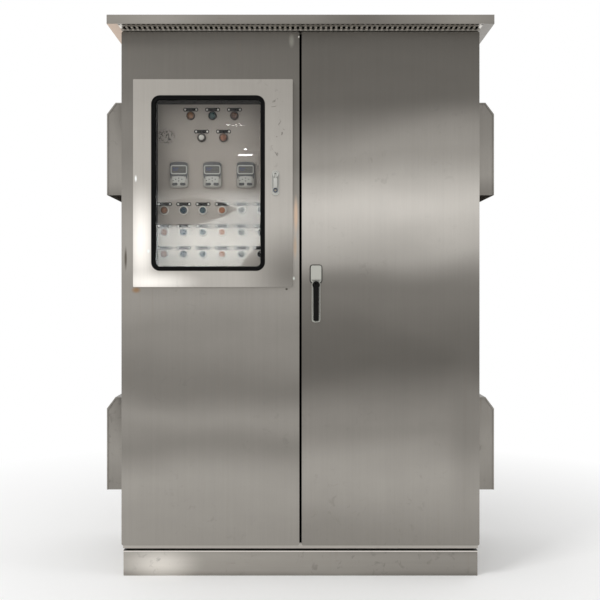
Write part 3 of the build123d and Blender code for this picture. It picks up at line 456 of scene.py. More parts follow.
def addSoffit(tree, axes, colour, tones):
    # Underside of the overhang, on faces turned down: painted light by depth, a row of round vent holes painted dark
    # with their shade, and painted reflections on the flanks past the body's sides
    under = spread(tree, times(tree, normalUp(tree), -1.0), 0.6, 0.9)
    paintedUnderside = toneRamp(tree, axes["Y"], tones)
    pitch = soffitLook["pitch"]
    share = maths(tree, "FRACT", maths(tree, "DIVIDE", axes["X"], pitch))
    across = times(tree, minus(tree, share, 0.5), pitch)
    inwards = plus(tree, axes["Y"], soffitLook["holeRow"])
    away = maths(tree, "SQRT", plus(tree, times(tree, across, across), times(tree, inwards, inwards)))
    hole = spread(tree, away, *soffitLook["holeEdge"])
    paintedUnderside = blend(tree, hole, paintedUnderside, warmGrey(soffitLook["holeTone"]))
    beyond = spread(tree, maths(tree, "ABSOLUTE", axes["X"]), *soffitLook["flankStart"])
    flankReflection = blend(tree, spread(tree, axes["X"], -0.3, 0.3), soffitLook["leftFlankReflection"],
                         warmGrey(soffitLook["rightFlankReflection"]))
    return blend(tree, under, colour, blend(tree, beyond, paintedUnderside, flankReflection))


def makeSteel(name, look):
    look = {**steelBase, **look}
    material, tree, shader, where = newMaterial(name)
    axes = axesOf(tree, where)
    waves = effect(tree, "waves", where, Stretch=(1.6, 1.6, 3.2))
    grain = effect(tree, "grain", where, Along=look["along"])
    marks = effect(tree, "smudges", where, Scale=34.0, Cover=look["cover"])
    drips = effect(tree, "drips", where, Narrow=70.0)

    # Height on the sheet, bent by the waves and leaning a little along X; the tones over it are painted bands of
    # reflected light and shade
    shift = times(tree, minus(tree, waves["Wave"], 0.5), 4 * look["wander"])
    lean = times(tree, axes["X"], look["tilt"])
    colour = toneRamp(tree, plus(tree, plus(tree, axes["Z"], shift), lean), look["tones"])
    # Painted reflections: broad patches, lighter or darker
    for x, z, wide, high, tone, strength in look.get("paintedReflections", ()):
        patch = spotMask(tree, where, x, z, wide, high)
        colour = blend(tree, times(tree, patch, strength), colour, warmGrey(tone))
    # Painted light across the sheet: a gain from its left edge to its right
    bodyHalf = 0.6
    colour = scaledColour(tree, colour, spread(tree, axes["X"], -bodyHalf, bodyHalf, *look.get("sides", (1.0, 1.0))))

    # Grain lines and patches vary the tone, smudges and run marks dull it
    broad = plus(tree, grain["Streak"], waves["Patch"])
    colour = scaledColour(tree, colour, spread(tree, grain["Grain"], 0.3, 0.7, 0.972, 1.028))
    colour = scaledColour(tree, colour, spread(tree, broad, 0.6, 1.4, 0.965, 1.035))
    smudge = times(tree, marks["Mark"], look["smudge"])
    drip = times(tree, drips["Drip"], look["drip"])
    smudgeTone, dripColour, bandEdge = warmGrey(96), (0.20, 0.13, 0.08, 1), 0.0004
    colour = blend(tree, drip, blend(tree, smudge, colour, smudgeTone), dripColour)
    # Painted highlight and shadow lines between two heights
    for low, high, tone in look.get("paintedLightLines", ()):
        within = times(tree, spread(tree, axes["Z"], low - bandEdge, low + bandEdge),
                       spread(tree, axes["Z"], high + bandEdge, high - bandEdge))
        colour = blend(tree, within, colour, warmGrey(tone))
    colour = addScuffs(tree, where, colour, look)
    # Small painted highlights and reflections, and a few stains
    for x, z, wide, high, levels in look.get("paintedGlintsAndStains", ()):
        colour = blend(tree, spotMask(tree, where, x, z, wide, high, 0.2), colour,
                              (*[fromScreen(level) for level in levels], 1))
    if "soffit" in look:
        colour = addSoffit(tree, axes, colour, look["soffit"])
    rough = spread(tree, grain["Grain"], 0.2, 0.8, look["roughness"] - 0.04, look["roughness"] + 0.05)
    feed(tree, shader.inputs, {"Base Color": colour, "Roughness": plus(tree, rough, times(tree, marks["Mark"], 0.14)),
                               "Metallic": spread(tree, plus(tree, smudge, drip), 0.0, 1.0, 1.0, 0.4)})
    bump(tree, shader, [(waves["Wave"], 0.004), (grain["Grain"], 0.00004)])
    return material


# Moulded plastic, rubber, paint and the like: screen levels, roughness, depth of the grain and share of dust.
# fade: upper and lower height and the tone reached, painted light that makes the panel lighter below
def plainLook(rgb, roughness, grain=0.00002, dust=0.08, **more):
    return {"rgb": rgb, "roughness": roughness, "grain": grain, "dust": dust, **more}


plainLooks = {
    "blackNylon": plainLook((15, 15, 14), 0.5, 0.00006, 0.02, specular=0.07),
    "blackRubber": plainLook((9, 9, 9), 0.5, 0.00004, 0.015, specular=0.06),
    # Near black standing in for the shade in the gap between the doors: painted shade
    "gapShadeBlack": plainLook((3, 3, 3), 0.8, 0.00004, 0.0, specular=0.02),
    "greyEnamel": plainLook((180, 180, 174), 0.32, 0.00003, 0.10),
    # Painted light: the panel lighter below its upper part, which lies in shade
    "panelPaint": plainLook((166, 160, 153), 0.42, 0.00005, 0.10, fade=(1.19, 1.15, 205), scuffs=[
        {"place": (-0.462, 1.492), "size": (0.040, 0.034), "scale": 95.0, "curl": 1.5, "cut": 0.50, "edge": 0.05,
         "tone": 62}]),
    "keypadGrey": plainLook((166, 165, 160), 0.48, 0.00005),
    "keypadDark": plainLook((90, 92, 94), 0.45, 0.00005, 0.10),
    "legendGrey": plainLook((20, 19, 19), 0.42, 0.00003, 0.03, specular=0.15),
    "driveGrey": plainLook((120, 124, 126), 0.5, 0.00007, 0.15),
    "driveDark": plainLook((62, 65, 68), 0.5, 0.00007, 0.15),
    "ductGrey": plainLook((150, 153, 154), 0.5, 0.00005, 0.2),
    "terminalBeige": plainLook((184, 178, 160), 0.5, 0.00005, 0.15),
    "whiteLens": plainLook((196, 196, 190), 0.28),
    "darkBezel": plainLook((56, 50, 46), 0.35),
    "paleBezel": plainLook((222, 222, 218), 0.28, 0.00001, 0.06),
    "selectorGrey": plainLook((44, 50, 48), 0.4, 0.00004, 0.1),
    "markWhite": plainLook((216, 218, 212), 0.4, dust=0.05),
    "markBlue": plainLook((58, 74, 130), 0.3, 0.00001, 0.02),
    "keypadPale": plainLook((186, 188, 184), 0.42, 0.00004),
    "keyDark": plainLook((74, 76, 78), 0.45, 0.00004),
    "keyRing": plainLook((66, 74, 92), 0.3, dust=0.05),
    "brassCore": plainLook((140, 134, 116), 0.3, dust=0.05),
    "handleGrey": plainLook((174, 174, 166), 0.36, 0.00004, 0.1),
    "screenFilm": plainLook((92, 92, 90), 0.3, 0.00001, 0.05),
    "filterFleece": plainLook((186, 182, 168), 0.9, 0.0006, 0.35)}
glossyTones = {
    0.25: {"amberLens": (140, 98, 62), "redLens": (92, 58, 38), "greenLens": (10, 52, 60), "tealLens": (18, 62, 62),
           "darkRedLens": (92, 62, 46), "rustLens": (128, 82, 56), "amberBrownLens": (136, 88, 54),
           "blueTealLens": (6, 54, 76)},
    0.3: {"greenCap": (12, 58, 70), "redCap": (150, 88, 36), "amberRim": (98, 66, 42), "tealRim": (12, 44, 50),
          "darkRedRim": (64, 42, 34), "whiteRim": (92, 90, 86), "rustRim": (96, 60, 42)}}
for roughness, tones in glossyTones.items():
    plainLooks.update({name: plainLook(rgb, roughness) for name, rgb in tones.items()})


def makePlain(name, look):
    material, tree, shader, where = newMaterial(name)
    rgb = [fromScreen(level) for level in look["rgb"]]
    mould = effect(tree, "mould", where, Fineness=900.0)
    marks = effect(tree, "smudges", where, Scale=60.0, Cover=0.5)
    darker, lighter = ((rgb[0] * gain, rgb[1] * gain, rgb[2] * gain, 1) for gain in (0.82, 1.1))
    dusty = times(tree, mould["Dust"], look["dust"])
    colour = blend(tree, dusty, blend(tree, mould["Grain"], darker, lighter), (0.36, 0.34, 0.30, 1))
    # Painted light: lighter below a height
    if "fade" in look:
        high, low, tone = look["fade"]
        colour = blend(tree, spread(tree, axesOf(tree, where)["Z"], high, low), colour, warmGrey(tone))
    rough = spread(tree, marks["Mark"], 0.0, 1.0, look["roughness"], look["roughness"] + 0.18)
    feed(tree, shader.inputs, {"Base Color": addScuffs(tree, where, colour, look),
                               "Roughness": plus(tree, rough, times(tree, dusty, 0.5), clamp=True)})
    bump(tree, shader, [(mould["Grain"], look["grain"])])
    shader.inputs["Specular IOR Level"].default_value = look.get("specular", 0.5)
    return material


def makeGlass():
    # Clear pane with a faint film and a few dried spots that only change its roughness
    material, tree, shader, where = newMaterial("windowGlass")
    marks = effect(tree, "smudges", where, Scale=50.0, Cover=0.45)
    shader.inputs["Base Color"].default_value = (0.985, 0.975, 0.955, 1)
    shader.inputs["Transmission Weight"].default_value = 1.0
    shader.inputs["IOR"].default_value = 1.25
    tree.links.new(spread(tree, marks["Mark"], 0.0, 1.0, 0.012, 0.07), shader.inputs["Roughness"])
    return material


materials = {name: makeSteel(name, look) for name, look in steelLooks.items()}
materials.update({name: makePlain(name, look) for name, look in plainLooks.items()})
materials["windowGlass"] = makeGlass()
print("materials made:", len(materials))

# CAD nodes of each finish
finishes = {
    "plinthSteel": ["plinth"], "bodySteel": ["carcass"], "roofSteel": ["roof_cap"], "hoodSteel": ["vent_hoods"],
    "leftDoorSteel": ["left_door"], "rightDoorSteel": ["right_door"], "windowDoorSteel": ["window_door"],
    "innerSteel": ["control_box"], "windowGlass": ["window_pane"], "panelPaint": ["control_panel"],
    "zincPlate": ["base_bolts", "door_hinge_pins", "mounting_plate", "left_top_bolt", "left_bottom_bolt",
                  "window_hinge_pins", "lamp_bodies", "switch_bodies", "rod_cam", "upper_rod", "lower_rod"],
    "blackNylon": ["fan_housings", "breaker_toggle", "fan_rotor_left", "fan_rotor_right", "handle_hub",
                   "handle_lever"],
    "blackRubber": ["left_door_seal", "right_door_seal", "window_gasket"],
    "greyEnamel": ["window_lock_housing", "window_lock_cam", "window_lock_lever", "handle_housing", "lock_cover"],
    "filterFleece": ["filter_mats"], "driveGrey": ["frequency_drives"], "driveDark": ["main_breaker"],
    "terminalBeige": ["terminal_blocks"], "ductGrey": ["wiring_ducts"], "amberLens": ["amber_lens"],
    "greenLens": ["green_lenses"], "redLens": ["red_lenses"], "whiteLens": ["white_lens"],
    "legendGrey": ["legend_plates"], "keypadGrey": ["keypad_housings", "keypad_membranes"],
    "screenFilm": ["keypad_screens"], "greenCap": [], "redCap": []}
for row in (1, 2, 3):
    finishes["greenCap"].append(f"start_button_{row}")
    finishes["redCap"].append(f"stop_button_{row}")
    finishes["blackNylon"] += [f"mode_selector_{row}", f"speed_knob_{row}"]
for finish, names in finishes.items():
    for name in names:
        nodes[name].data.materials.clear()
        nodes[name].data.materials.append(materials[finish])
print("CAD nodes finished:", sum(len(names) for names in finishes.values()))


# Control panel devices: round bezels, domed lenses, caps, selectors and knobs (metres)
deck = {"x": -0.3015, "face": -0.223, "back": -0.220, "pitchX": 0.066, "pitchZ": 0.075, "firstRow": 1.238,
        "rows": 3, "phaseZ": 1.562, "statusZ": 1.487, "lampPitch": 0.075, "bezelRadius": 0.0147,
        "lensRadius": 0.0126, "capRadius": 0.0104, "blockSize": (0.028, 0.040, 0.042)}


def columnPlaces(column):
    x = deck["x"] + deck["pitchX"] * (column - 2.5)
    return [(x, deck["firstRow"] - deck["pitchZ"] * row) for row in range(deck["rows"])]


phasePlaces = [(deck["x"] + deck["lampPitch"] * step, deck["phaseZ"]) for step in (-1, 0, 1)]
statusPlaces = [(deck["x"] + deck["lampPitch"] * step, deck["statusZ"]) for step in (-0.5, 0.5)]
columns = [columnPlaces(column) for column in range(6)]
allPlaces = phasePlaces + statusPlaces + sum(columns, [])


def addDevices(name, shape, places, finish, replaced=(), body="left_leaf", sharpAngle=35):
    addPiece(name, [shape(x, z) for x, z in places], finish, body, replaced, sharpAngle)


def onPanel(x, z, rows, sides=32):
    # A turned form on the panel: each row is a radius and a height over the panel's face
    return turned(x, z, [(radius, deck["face"] - height) for radius, height in rows], sides)


def loftOnPanel(x, z, sections, steps=6):
    # Rounded loops on the panel: width, height, corner radius and height over the panel's face
    return loftFront(x, z, [(wide, high, radius, deck["face"] - up) for wide, high, radius, up in sections], steps)


def contactBlock(x, z):
    # The block behind the panel: rounded loops that step in at both ends
    width, height, depth = deck["blockSize"]
    back = deck["back"] + depth
    neck, corner, waist = 0.016, 0.002, 0.012
    return loftFront(x, z, [(neck, neck, 0.004, deck["face"]), (neck, neck, 0.004, deck["back"]),
                            (width, height, corner, deck["back"]), (width, height, corner, back - waist),
                            (width - 0.006, height - 0.008, corner, back - 0.010),
                            (width - 0.006, height - 0.008, corner, back)], steps=3)


def bezel(x, z, grow=0.0, inner=None):
    # A turned ring: upright side, rolled front edge, and a recess for the cap
    r = deck["bezelRadius"] + grow
    rows = [(r, 0.0), (r, 0.0070), (r - 0.0005, 0.0082), (r - 0.0014, 0.0090), (r - 0.0026, 0.0088)]
    if inner:
        return onPanel(x, z, rows + [(inner + 0.0004, 0.0084), (inner, 0.0076), (inner, 0.0015), (0, 0.0015)])
    return onPanel(x, z, rows + [(0.006, 0.0086), (0, 0.0086)])


def lensRim(x, z):
    r = deck["lensRadius"]
    return onPanel(x, z, [(r, 0.0085), (r, 0.0108), (r - 0.0006, 0.0122), (r - 0.0018, 0.0132), (r - 0.0030, 0.0134),
                          (r - 0.0034, 0.0128), (r - 0.0036, 0.0110), (0, 0.0110)])


def lensDome(x, z):
    # Low dome: height falls with the square of the radius
    r = deck["lensRadius"] - 0.0037
    return onPanel(x, z, [(r, 0.0105)] + [(r * s, 0.0128 + 0.0022 * (1 - s * s)) for s in np.linspace(1, 0, 7)])


def addBezels(name, places, finish, grow=0.0, inner=None):
    addPiece(name, [bezel(x, z, grow, inner) for x, z in places], finish, "left_leaf", sharpAngle=50)


addDevices("lamp_contact_blocks", contactBlock, phasePlaces + statusPlaces + columns[0] + columns[1], "keypadDark",
           ("lamp_bodies",))
addBezels("lamp_bezels_dark", phasePlaces + statusPlaces, "darkBezel")
addBezels("lamp_bezels_pale", columns[0] + columns[1], "paleBezel", 0.0011)
for name, places, rim, dome, slot, replaced in (
        ("amber_phase", phasePlaces[:1], "amberRim", "amberLens", "amber_lens", ("amber_lens",)),
        ("teal_phase", phasePlaces[1:2], "tealRim", "tealLens", "green_lens", ("green_lenses",)),
        ("dark_red_phase", phasePlaces[2:], "darkRedRim", "darkRedLens", "red_lens", ("red_lenses",)),
        ("white_status", statusPlaces[:1], "whiteRim", "whiteLens", "white_lens", ("white_lens",)),
        ("rust_status", statusPlaces[1:], "rustRim", "rustLens", "red_lens", ()),
        ("amber_row", columns[0], "amberRim", "amberBrownLens", "red_lens", ()),
        ("teal_row", columns[1], "tealRim", "blueTealLens", "green_lens", ())):
    addDevices(f"{name}_rims", lensRim, places, rim, replaced)
    addDevices(f"{name}_domes", lensDome, places, dome)
addDevices("switch_contact_blocks", contactBlock, sum(columns[2:], []), "keypadDark",
           ("switch_bodies",))
addBezels("button_bezels", columns[2] + columns[3], "paleBezel", 0.0004, 0.01055)
addBezels("knob_bezels", columns[4] + columns[5], "paleBezel", 0.0004)


def buttonCap(x, z):
    # Cap with a rolled edge and a shallow dish
    r = deck["capRadius"]
    return onPanel(x, z, [(r, 0.0060), (r, 0.0128), (r - 0.0004, 0.0136), (r - 0.0012, 0.0140), (r - 0.0022, 0.0138),
                          (0.0050, 0.0133), (0.0020, 0.0132), (0, 0.0132)])


def selectorBase(x, z):
    return onPanel(x, z, [(0.0110, 0.0092), (0.0110, 0.0122), (0.0106, 0.0129), (0.0098, 0.0132), (0, 0.0132)])


def selectorGrip(x, z):
    return loftOnPanel(x, z, [(0.0090, 0.0212, 0.0044, 0.0125), (0.0074, 0.0210, 0.0036, 0.0150),
                              (0.0068, 0.0208, 0.0033, 0.0210), (0.0062, 0.0200, 0.0030, 0.0232),
                              (0.0050, 0.0184, 0.0024, 0.0240)])


def selectorMark(x, z):
    return loftOnPanel(x, z + 0.0042, [(0.0021, 0.0092, 0.0009, 0.0236), (0.0021, 0.0092, 0.0009, 0.0241),
                                       (0.0017, 0.0088, 0.0008, 0.0242)], 3)


def speedMark(x, z):
    return loftOnPanel(x, z + 0.0052, [(0.0014, 0.0058, 0.0006, 0.0238), (0.0014, 0.0058, 0.0006, 0.0244)], 3)


def knobSkirt(x, z, flutes=18, sides=72):
    # Fluted knob: radius times one plus a small cosine of the flute angle
    points, faces = onPanel(x, z, [(0.0110, 0.0092), (0.0110, 0.0120), (0.0104, 0.0128), (0.0098, 0.0220),
                                   (0.0094, 0.0234), (0.0084, 0.0242), (0, 0.0242)], sides)
    angle = np.arctan2(points[:, 2] - z, points[:, 0] - x)
    depth = np.where(points[:, 1] < deck["face"] - 0.0126, 0.035, 0.0)
    factor = 1 + depth * np.cos(flutes * angle)
    points[:, 0] = x + (points[:, 0] - x) * factor
    points[:, 2] = z + (points[:, 2] - z) * factor
    return points, faces


for row in range(deck["rows"]):
    start, stop, mode, speed = (f"{kind}_{row + 1}" for kind in
                                ("start_button", "stop_button", "mode_selector", "speed_knob"))
    places = [column[row:row + 1] for column in columns]
    addDevices(f"start_cap_{row + 1}", buttonCap, places[2], "greenCap", (start,), start)
    addDevices(f"stop_cap_{row + 1}", buttonCap, places[3], "redCap", (stop,), stop)
    addPiece(f"mode_knob_{row + 1}", [selectorBase(*places[4][0]), selectorGrip(*places[4][0])], "selectorGrey", mode,
             (mode,))
    addDevices(f"mode_mark_{row + 1}", selectorMark, places[4], "markWhite", body=mode)
    addDevices(f"speed_dial_{row + 1}", knobSkirt, places[5], "blackNylon", (speed,), speed)
    addDevices(f"speed_mark_{row + 1}", speedMark, places[5], "markWhite", body=speed)
print("control devices made")

# Legend plates: a narrow bar with a round eye at each end, held by two pale screws
plateLook = {"rise": 0.0215, "eyes": 0.019, "eyeRadius": 0.0068, "barHalf": 0.0058, "neckHalf": 0.0034,
             "barEnd": 0.0140, "screwRadius": 0.0036, "thickness": 0.0013}


def plateOutline(scale=1.0):
    # Half height over X: the bar in the middle, a neck, then half a circle about each eye
    reach = plateLook["eyes"] + plateLook["eyeRadius"]
    x = reach * np.sin(np.linspace(-np.pi / 2, np.pi / 2, 25))
    bar = np.where(np.abs(x) < plateLook["barEnd"], plateLook["barHalf"], plateLook["neckHalf"])
    eye = np.sqrt(np.clip(plateLook["eyeRadius"] ** 2 - (np.abs(x) - plateLook["eyes"]) ** 2, 0, None))
    half = np.where(np.abs(x) > plateLook["eyes"], eye, np.maximum(bar, eye))
    lower = np.stack([x[::-1], -half[::-1]], -1)[1:-1]
    return np.concatenate([np.stack([x, half], -1), lower]) * scale


def legendPlate(x, z):
    front = deck["face"] - plateLook["thickness"]
    return stacked(x, z + plateLook["rise"], [(plateOutline(), deck["face"]), (plateOutline(), front + 0.0003),
                                              (plateOutline(0.98), front)])


def plateScrew(x, z):
    # Pan head: a quarter-circle crown from 20 to 90 degrees
    r, lift = plateLook["screwRadius"], plateLook["thickness"]
    crown = [(r * math.cos(a), lift + 0.0002 + 0.0010 * math.sin(a)) for a in np.radians(np.linspace(20, 90, 4))]
    return onPanel(x, z + plateLook["rise"], [(r, lift - 0.0004), (r, lift + 0.0002)] + crown, sides=16)


addDevices("legend_bars", legendPlate, allPlaces, "legendGrey", ("legend_plates",))
addDevices("legend_screws", plateScrew, [(x + side * plateLook["eyes"], z) for x, z in allPlaces for side in (-1, 1)],
           "paleBezel")
print("legend plates made")

# Keypads: pale case with a dark arched cap, a framed screen, a raised disc of keys and two oval keys.
# dots: places of the round keys; marks: place and width of the screen's marks
keypadLook = {"pitch": 0.114, "z": 1.359, "width": 0.063, "height": 0.090, "depth": 0.0135, "capHeight": 0.051,
              "screen": (0.048, 0.0225), "screenRise": 0.0170, "discRadius": 0.0215, "oval": (0.0190, 0.0092),
              "dots": [(-0.0195, -0.0205), (0.0, -0.0120), (0.0, -0.0215), (0.0105, -0.0160), (-0.0105, -0.0160)],
              "marks": [(-0.0165, 0.0046, 0.007), (-0.0060, 0.0046, 0.008), (-0.0180, -0.0016, 0.004),
                        (-0.0100, -0.0016, 0.0085)]}


def keypadOutline(width, low, high, crown, foot, inset=0.0):
    # Sides joined by a crowned top and a rounded foot: height adds crown or foot times one minus x squared
    half = width / 2 - inset
    across = half * np.sin(np.linspace(-np.pi / 2, np.pi / 2, 21))
    share = 1 - (across / half) ** 2
    corner = np.sqrt(np.clip(1 - (np.abs(across) / half) ** 8, 0, 1))
    top = np.stack([across, high - inset - 0.006 * (1 - corner) + crown * (share - 1)], -1)
    bottom = np.stack([across[::-1], low + inset + 0.006 * (1 - corner) + foot * (1 - share[::-1])], -1)
    return np.concatenate([top, bottom])


def keypadParts(x, z):
    k = keypadLook
    front, width, half = deck["face"] - k["depth"], k["width"], k["height"] / 2
    capLow, screenZ = half - k["capHeight"], z + k["screenRise"]
    (wide, high), (ovalWide, ovalHigh), disc = k["screen"], k["oval"], k["discRadius"]

    def above(rows):
        # Rows whose last value is a height over the keypad's front
        return [(*row[:-1], front - row[-1]) for row in rows]

    case = above([(keypadOutline(width, -half, half, 0.003, 0.004, inset), up) for inset, up in (
        (0.0, -k["depth"]), (0.0, -0.0025), (0.0009, -0.0008), (0.0022, 0.0))])
    cap = above([(keypadOutline(width - 0.003, capLow, half - 0.0012, 0.003, -0.001, inset), up) for inset, up in (
        (0.0, -0.0006), (0.0, 0.0006), (0.0006, 0.0011))])
    legs = [loftFront(x + side * 0.0265, z + capLow - 0.003, above(narrowed(0.0042, 0.009, [
        (0, 0.0015, -0.0004), (0, 0.0015, 0.0008), (0.0006, 0.0012, 0.0011)])), steps=3) for side in (-1, 1)]
    frame = sweptFrame(x, screenZ, wide, high, 0.003, above([
        (0.0006, 0.0008), (0.0006, 0.0018), (0.0012, 0.0024), (0.0036, 0.0024), (0.0043, 0.0018),
        (0.0043, 0.0008)]), steps=6)
    keyDisc = turned(x, z - 0.0165, above([(disc, -0.0004), (disc, 0.0002), (disc - 0.0008, 0.0009),
                                           (0.012, 0.0011), (0, 0.0011)]), sides=40)
    glass = loftFront(x, screenZ, above([(wide + 0.001, high + 0.001, 0.003, 0.0008), (wide, high, 0.0028, 0.0013)]),
                      steps=4)
    dots = [turned(x + dx, z + dz, above([(0.0019, 0.0009), (0.0019, 0.0014), (0.0012, 0.0017), (0, 0.0017)]),
                   sides=12) for dx, dz in k["dots"]]
    ovals = [loftFront(x + side * 0.0135, z - 0.0325, above(narrowed(ovalWide, ovalHigh, [
        (0, ovalHigh / 2, 0.0006), (0, ovalHigh / 2, 0.0018), (0.0012, ovalHigh / 2, 0.0023)])), turn=side * -0.06)
        for side in (-1, 1)]
    marks = [loftFront(x + dx, screenZ + dz, above([(w, 0.0024, 0.0003, 0.0012), (w, 0.0024, 0.0003, 0.0014)]),
                       steps=2) for dx, dz, w in k["marks"]]
    return {"case": [stacked(x, z, case)], "cap": [stacked(x, z, cap)] + legs, "frame": [frame, keyDisc],
            "glass": [glass], "keys": dots + ovals, "marks": marks}


keypadSets = [keypadParts(deck["x"] + keypadLook["pitch"] * step, keypadLook["z"]) for step in (-1, 0, 1)]
for part, finish, slot, replaced in (("case", "keypadGrey", "grey_plastic", ("keypad_housings",)),
                                     ("cap", "keypadDark", "dark_grey_plastic", ()),
                                     ("frame", "keypadPale", "grey_plastic", ("keypad_membranes",)),
                                     ("glass", "screenFilm", "screen_film", ("keypad_screens",)),
                                     ("keys", "keyDark", "membrane", ()), ("marks", "markBlue", "screen_film", ())):
    addPiece(f"keypad_{part}", sum([s[part] for s in keypadSets], []), finish, "left_leaf", replaced)
print("keypads made")

# Window gasket: a rubber section with two beads, carried round the window's rounded rectangle
gasketLook = {"x": -0.307, "z": 1.320, "width": 0.372, "height": 0.577, "radius": 0.026,
              "section": [(0.0030, -0.3231), (0.0030, -0.3242), (0.0022, -0.3249), (-0.0026, -0.3250),
                          (-0.0036, -0.3246), (-0.0042, -0.3238), (-0.0049, -0.3246), (-0.0060, -0.3250),
                          (-0.0092, -0.3250), (-0.0110, -0.3243), (-0.0120, -0.3228), (-0.0120, -0.3203),
                          (-0.0061, -0.3203), (-0.0061, -0.3157), (-0.0120, -0.3157), (-0.0120, -0.3142),
                          (0.0030, -0.3142), (0.0030, -0.3209), (0.0001, -0.3209), (0.0001, -0.3231)]}
addPiece("window_gasket_profile", [sweptFrame(*gasketLook.values())], "blackRubber", "window_leaf",
         ("window_gasket",))

# Window door lock: capsule plate with a raised rim, a hub with an arched lever, a key disc under it
lockLook = {"x": -0.083, "plateMiddle": 1.320, "plate": (0.026, 0.084), "face": -0.323, "front": -0.329,
            "leverTop": 1.3356, "leverLength": 0.0324, "leverHalf": 0.0066, "keyZ": 1.2955}


def lockPlate():
    face, front, radius = lockLook["face"], lockLook["front"], lockLook["plate"][0] / 2
    return loftFront(lockLook["x"], lockLook["plateMiddle"], narrowed(*lockLook["plate"], [
        (0, radius, face), (0, radius, front + 0.0016), (0.0012, radius, front + 0.0004), (0.0030, radius, front),
        (0.0058, radius, front), (0.0068, radius, front + 0.0016)]), steps=10)


def lockLever():
    # Half width narrows and the front plane arches by a sine along the lever; a tongue stands behind its top
    rows = []
    for share in np.linspace(0, 1, 11):
        arch = math.sin(math.pi * (0.12 + 0.80 * share)) ** 0.6
        rows.append((lockLook["leverTop"] - lockLook["leverLength"] * share,
                     lockLook["leverHalf"] * (1 - 0.10 * share), -0.3296, -0.3350 - 0.0042 * arch, 0.0022))
    tongue = [(z, 0.0028, -0.3366, -0.3320, 0.0004) for z in (1.3492, 1.3350)]
    return [crownedBar(lockLook["x"], rows), crownedBar(lockLook["x"], tongue)]


addPiece("window_lock_plate", [lockPlate()], "greyEnamel", "window_leaf", ("window_lock_housing",))
for name, rows, sides, finish in (
        ("window_lock_key", [(0.0076, -0.3276), (0.0076, -0.3296), (0.0068, -0.3304), (0.0056, -0.3304),
                             (0.0052, -0.3296), (0, -0.3296)], 32, "keyRing"),
        ("window_lock_core", [(0.0038, -0.3294), (0.0038, -0.3302), (0.0030, -0.3306), (0, -0.3306)], 20,
         "brassCore")):
    addPiece(name, [turned(lockLook["x"], lockLook["keyZ"], rows, sides)], finish, "window_leaf")

# Black strips at the top and left of the recess, painted shade standing in for the shaded recess walls, seen as a
# dark band behind the pane
addPiece("recess_shade_strips", [
    loftFront(x, z, narrowed(width, height, [(0, 0.001, -0.2235), (0, 0.001, back)]), 2)
    for x, z, width, height, back in ((-0.307, 1.6186, 0.402, 0.0350, -0.300),
                                      (-0.4985, 1.310, 0.0190, 0.580, -0.262))],
    "blackRubber", "left_leaf")
addPiece("window_lock_grip", lockLever(), "greyEnamel", "window_lock_lever", ("window_lock_lever",))
print("window gasket and lock made")

# Swing handle: long plate with a raised rim, head plate, black lever with a rounded back, hinged cover
handleLook = {"x": 0.052, "width": 0.029, "low": 0.857, "high": 0.9935, "rim": 0.0024, "headWidth": 0.036,
              "headLow": 0.990, "coverLow": 0.998, "headHigh": 1.047, "back": -0.300, "front": -0.310,
              "coverBack": -0.3103, "coverFront": -0.3158, "leverLow": 0.862, "leverTop": 0.9660}


def handleBlock(width, low, high, rows):
    # A rounded block of the handle between two heights
    return loftFront(handleLook["x"], (high + low) / 2, narrowed(width, high - low, rows), 8)


def handlePlate():
    h = handleLook
    back, front, rim = h["back"], h["front"], 2 * h["rim"]
    long = [(0, 0.009, back), (0, 0.009, front + 0.0014), (0.0008, 0.009, front + 0.0004), (0.0026, 0.008, front),
            (rim + 0.0010, 0.007, front), (rim + 0.0024, 0.006, front + 0.0018)]
    head = [(0, 0.007, back), (0, 0.007, front + 0.0014), (0.0008, 0.007, front + 0.0004), (0.0026, 0.006, front)]
    return [handleBlock(h["width"], h["low"], h["high"], long),
            handleBlock(h["headWidth"], h["headLow"], h["headHigh"], head)]


def coverPlate():
    # Rounded plate whose front edge steps inwards
    h, front = handleLook, handleLook["coverFront"]
    return handleBlock(h["headWidth"], h["coverLow"], h["headHigh"], [
        (0, 0.0065, h["coverBack"]), (0, 0.0065, front + 0.0022), (0.0008, 0.0062, front + 0.0008),
        (0.0024, 0.0055, front + 0.0001), (0.0060, 0.0045, front)])


def handleLever():
    # Rows from the top down: three for the rounded head, nine along the grip, two for its tip
    low, high, back = handleLook["leverLow"], handleLook["leverTop"], -0.3104
    rows = [(high + 0.010, 0.0070, -0.3118, -0.3200, 0.0022), (high + 0.004, 0.0092, -0.3108, -0.3214, 0.0026),
            (high - 0.003, 0.0091, back, -0.3221, 0.0030)]
    for share in np.linspace(0.05, 0.95, 9):
        rows.append((high + (low - high) * share, 0.0092 - 0.0006 * share, back, -0.3223 + 0.0006 * share, 0.0034))
    rows += [(low + 0.002, 0.0080, back, -0.3212, 0.0030), (low, 0.0058, -0.3110, -0.3190, 0.0020)]
    tongue = [(z, 0.0039, -0.3202, -0.3124, 0.0006) for z in (0.9850, 0.9640)]
    return [crownedBar(handleLook["x"], rows), crownedBar(handleLook["x"], tongue)]


addPiece("handle_plate", handlePlate(), "handleGrey", "right_leaf", ("handle_housing",))
# Black ring round the head plate: painted shadow
addPiece("handle_shadow_outline", [sweptFrame(handleLook["x"], 1.0185, 0.036, 0.057, 0.007, [
    (0.0002, -0.3003), (0.0030, -0.3003), (0.0030, -0.3016), (0.0002, -0.3030)], 8)],
    "blackRubber", "right_leaf")
addPiece("handle_cover", [coverPlate()], "handleGrey", "lock_cover", ("lock_cover",))
addPiece("handle_grip", handleLever(), "blackNylon", "handle_lever", ("handle_lever",))
print("handle made")


